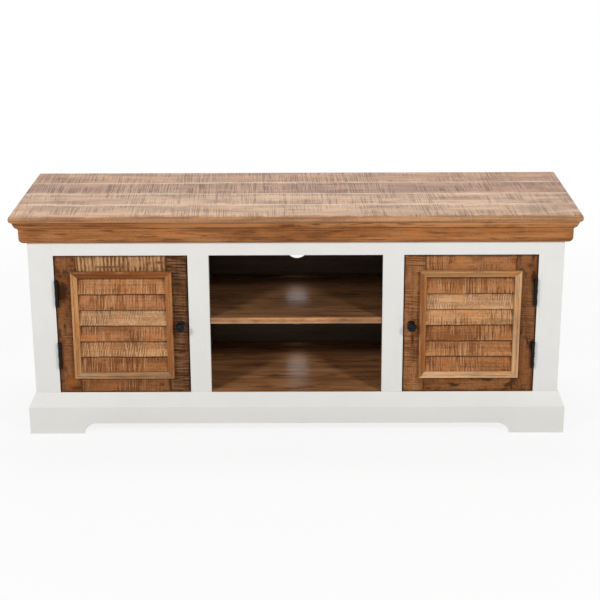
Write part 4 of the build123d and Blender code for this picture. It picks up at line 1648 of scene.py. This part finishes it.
    def build(self) -> None:
        """Make the timber and dress the fittings."""
        self.build_frame()
        self.build_slats()
        self.build_moulding()
        iron = BLACK_IRON.material(f"iron_{self.body}")
        dress_node(f"{self.body}_knob", HAMMERED_IRON.material(f"hammered_{self.body}"))
        dress_node(f"{self.body}_hinge_leaves", iron)
        dress_node(f"{self.body}_strike_plate", STRIKE_STEEL.material(f"strike_{self.body}"))
        dress_node(f"{self.body}_screws", SCREW_STEEL.material(f"screws_{self.body}"))


@dataclass
class Ironmongery:
    """Fittings that stay on the cabinet."""

    def build(self) -> None:
        """Dress hinge leaves, pins, catches and screws."""
        iron = BLACK_IRON.material("iron_cabinet")
        for node in ("hinge_frame_leaves_left", "hinge_frame_leaves_right", "hinge_pins"):
            dress_node(node, iron)
        dress_node("magnetic_catches", CATCH_PLASTIC.material("catch_plastic"))
        dress_node("frame_screws", SCREW_STEEL.material("screws_cabinet"))


TOP_MARKS = {
    "top_board_3": (
        Scoring(-260.0, 280.0, 0.6),
        Fade(Axis.X, 150.0, 650.0, (0.93, 0.84, 0.77)),
    ),
    "top_board_4": (
        Knot((502.0, 145.0, 580.0), (26.0, 9.0, 40.0)),
        Fade(Axis.X, 150.0, 650.0, (0.97, 0.92, 0.90)),
    ),
}
LEFT_STOCK = DoorStock(
    hinge_stile=Stock(BLOTCHED, Tone.WALNUT),
    lock_stile=Stock(SCORED, Tone.SMOKED),
    top_rail=Stock(STRIPED, Tone.GOLDEN),
    bottom_rail=Stock(SAWN, Tone.RUSSET),
    slats=(
        Stock(SAWN_SLAT, Tone.CHESTNUT),
        Stock(RIPPLED_SLAT, Tone.HONEY),
        Stock(SAWN_SLAT, Tone.TAN),
        Stock(RIPPLED_SLAT, Tone.STRAW),
        Stock(SAWN_SLAT, Tone.TAN),
        Stock(SAWN_SLAT, Tone.AMBER),
    ),
    mouldings=(Tone.ASHEN, Tone.BUFF, Tone.REDDISH, Tone.GINGER),
)
RIGHT_STOCK = DoorStock(
    hinge_stile=Stock(BLOTCHED, Tone.UMBER),
    lock_stile=Stock(SAWN, Tone.RUSSET),
    top_rail=Stock(SAWN, Tone.CINNAMON),
    bottom_rail=Stock(BLOTCHED, Tone.WALNUT),
    slats=(
        Stock(SAWN_SLAT, Tone.CHESTNUT),
        Stock(SAWN_SLAT, Tone.AMBER),
        Stock(SAWN_SLAT, Tone.CHESTNUT),
        Stock(SAWN_SLAT, Tone.HONEY),
        Stock(RIPPLED_SLAT, Tone.STRAW),
        Stock(SAWN_SLAT, Tone.CHESTNUT),
    ),
    mouldings=(Tone.CREAM, Tone.CREAM, Tone.GOLDEN, Tone.GINGER),
)
LEFT_MARKS = {
    "slat_5": (Knot((-461.0, -190.0, 333.0), (5.0, 8.0, 4.0)),),
    "hinge_stile": (
        Knot((-586.0, -189.0, 376.0), (24.0, 12.0, 36.0), 0.3),
        Knot((-588.0, -189.0, 417.0), (9.0, 9.0, 6.0)),
        Knot((-560.0, -189.0, 118.0), (20.0, 9.0, 7.0)),
    ),
    "top_rail": (
        Knot((-467.0, -189.0, 441.0), (38.0, 9.0, 3.0)),
        Knot((-429.0, -189.0, 441.0), (3.4, 9.0, 6.0)),
        Knot((-337.0, -189.0, 452.0), (13.0, 9.0, 4.0)),
    ),
    "bottom_rail": (Knot((-342.0, -189.0, 128.0), (8.0, 9.0, 7.0)),),
}
RIGHT_MARKS = {
    "lock_stile": (Knot((293.0, -189.0, 249.0), (3.8, 9.0, 21.0), 0.4),),
    "hinge_stile": (
        Knot((583.0, -189.0, 442.0), (10.0, 9.0, 6.0)),
        Knot((560.0, -189.0, 430.0), (5.0, 9.0, 5.0)),
        Knot((592.0, -189.0, 412.0), (10.0, 12.0, 24.0), 0.5),
    ),
}


def main() -> None:
    """Build the studio and each part of the object in order."""
    logging.basicConfig(level=logging.INFO, format="%(name)s: %(message)s")
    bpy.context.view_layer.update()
    parts = (
        Studio(),
        Worktop(),
        Cornice(),
        PaintedCase(),
        OpenBay(),
        LouvreDoor(Side.LEFT, LEFT_STOCK, LEFT_MARKS),
        LouvreDoor(Side.RIGHT, RIGHT_STOCK, RIGHT_MARKS),
        Ironmongery(),
    )
    for part in parts:
        part.build()
        LOG.info("finished %s", type(part).__name__)


if __name__ == "__main__":
    main()
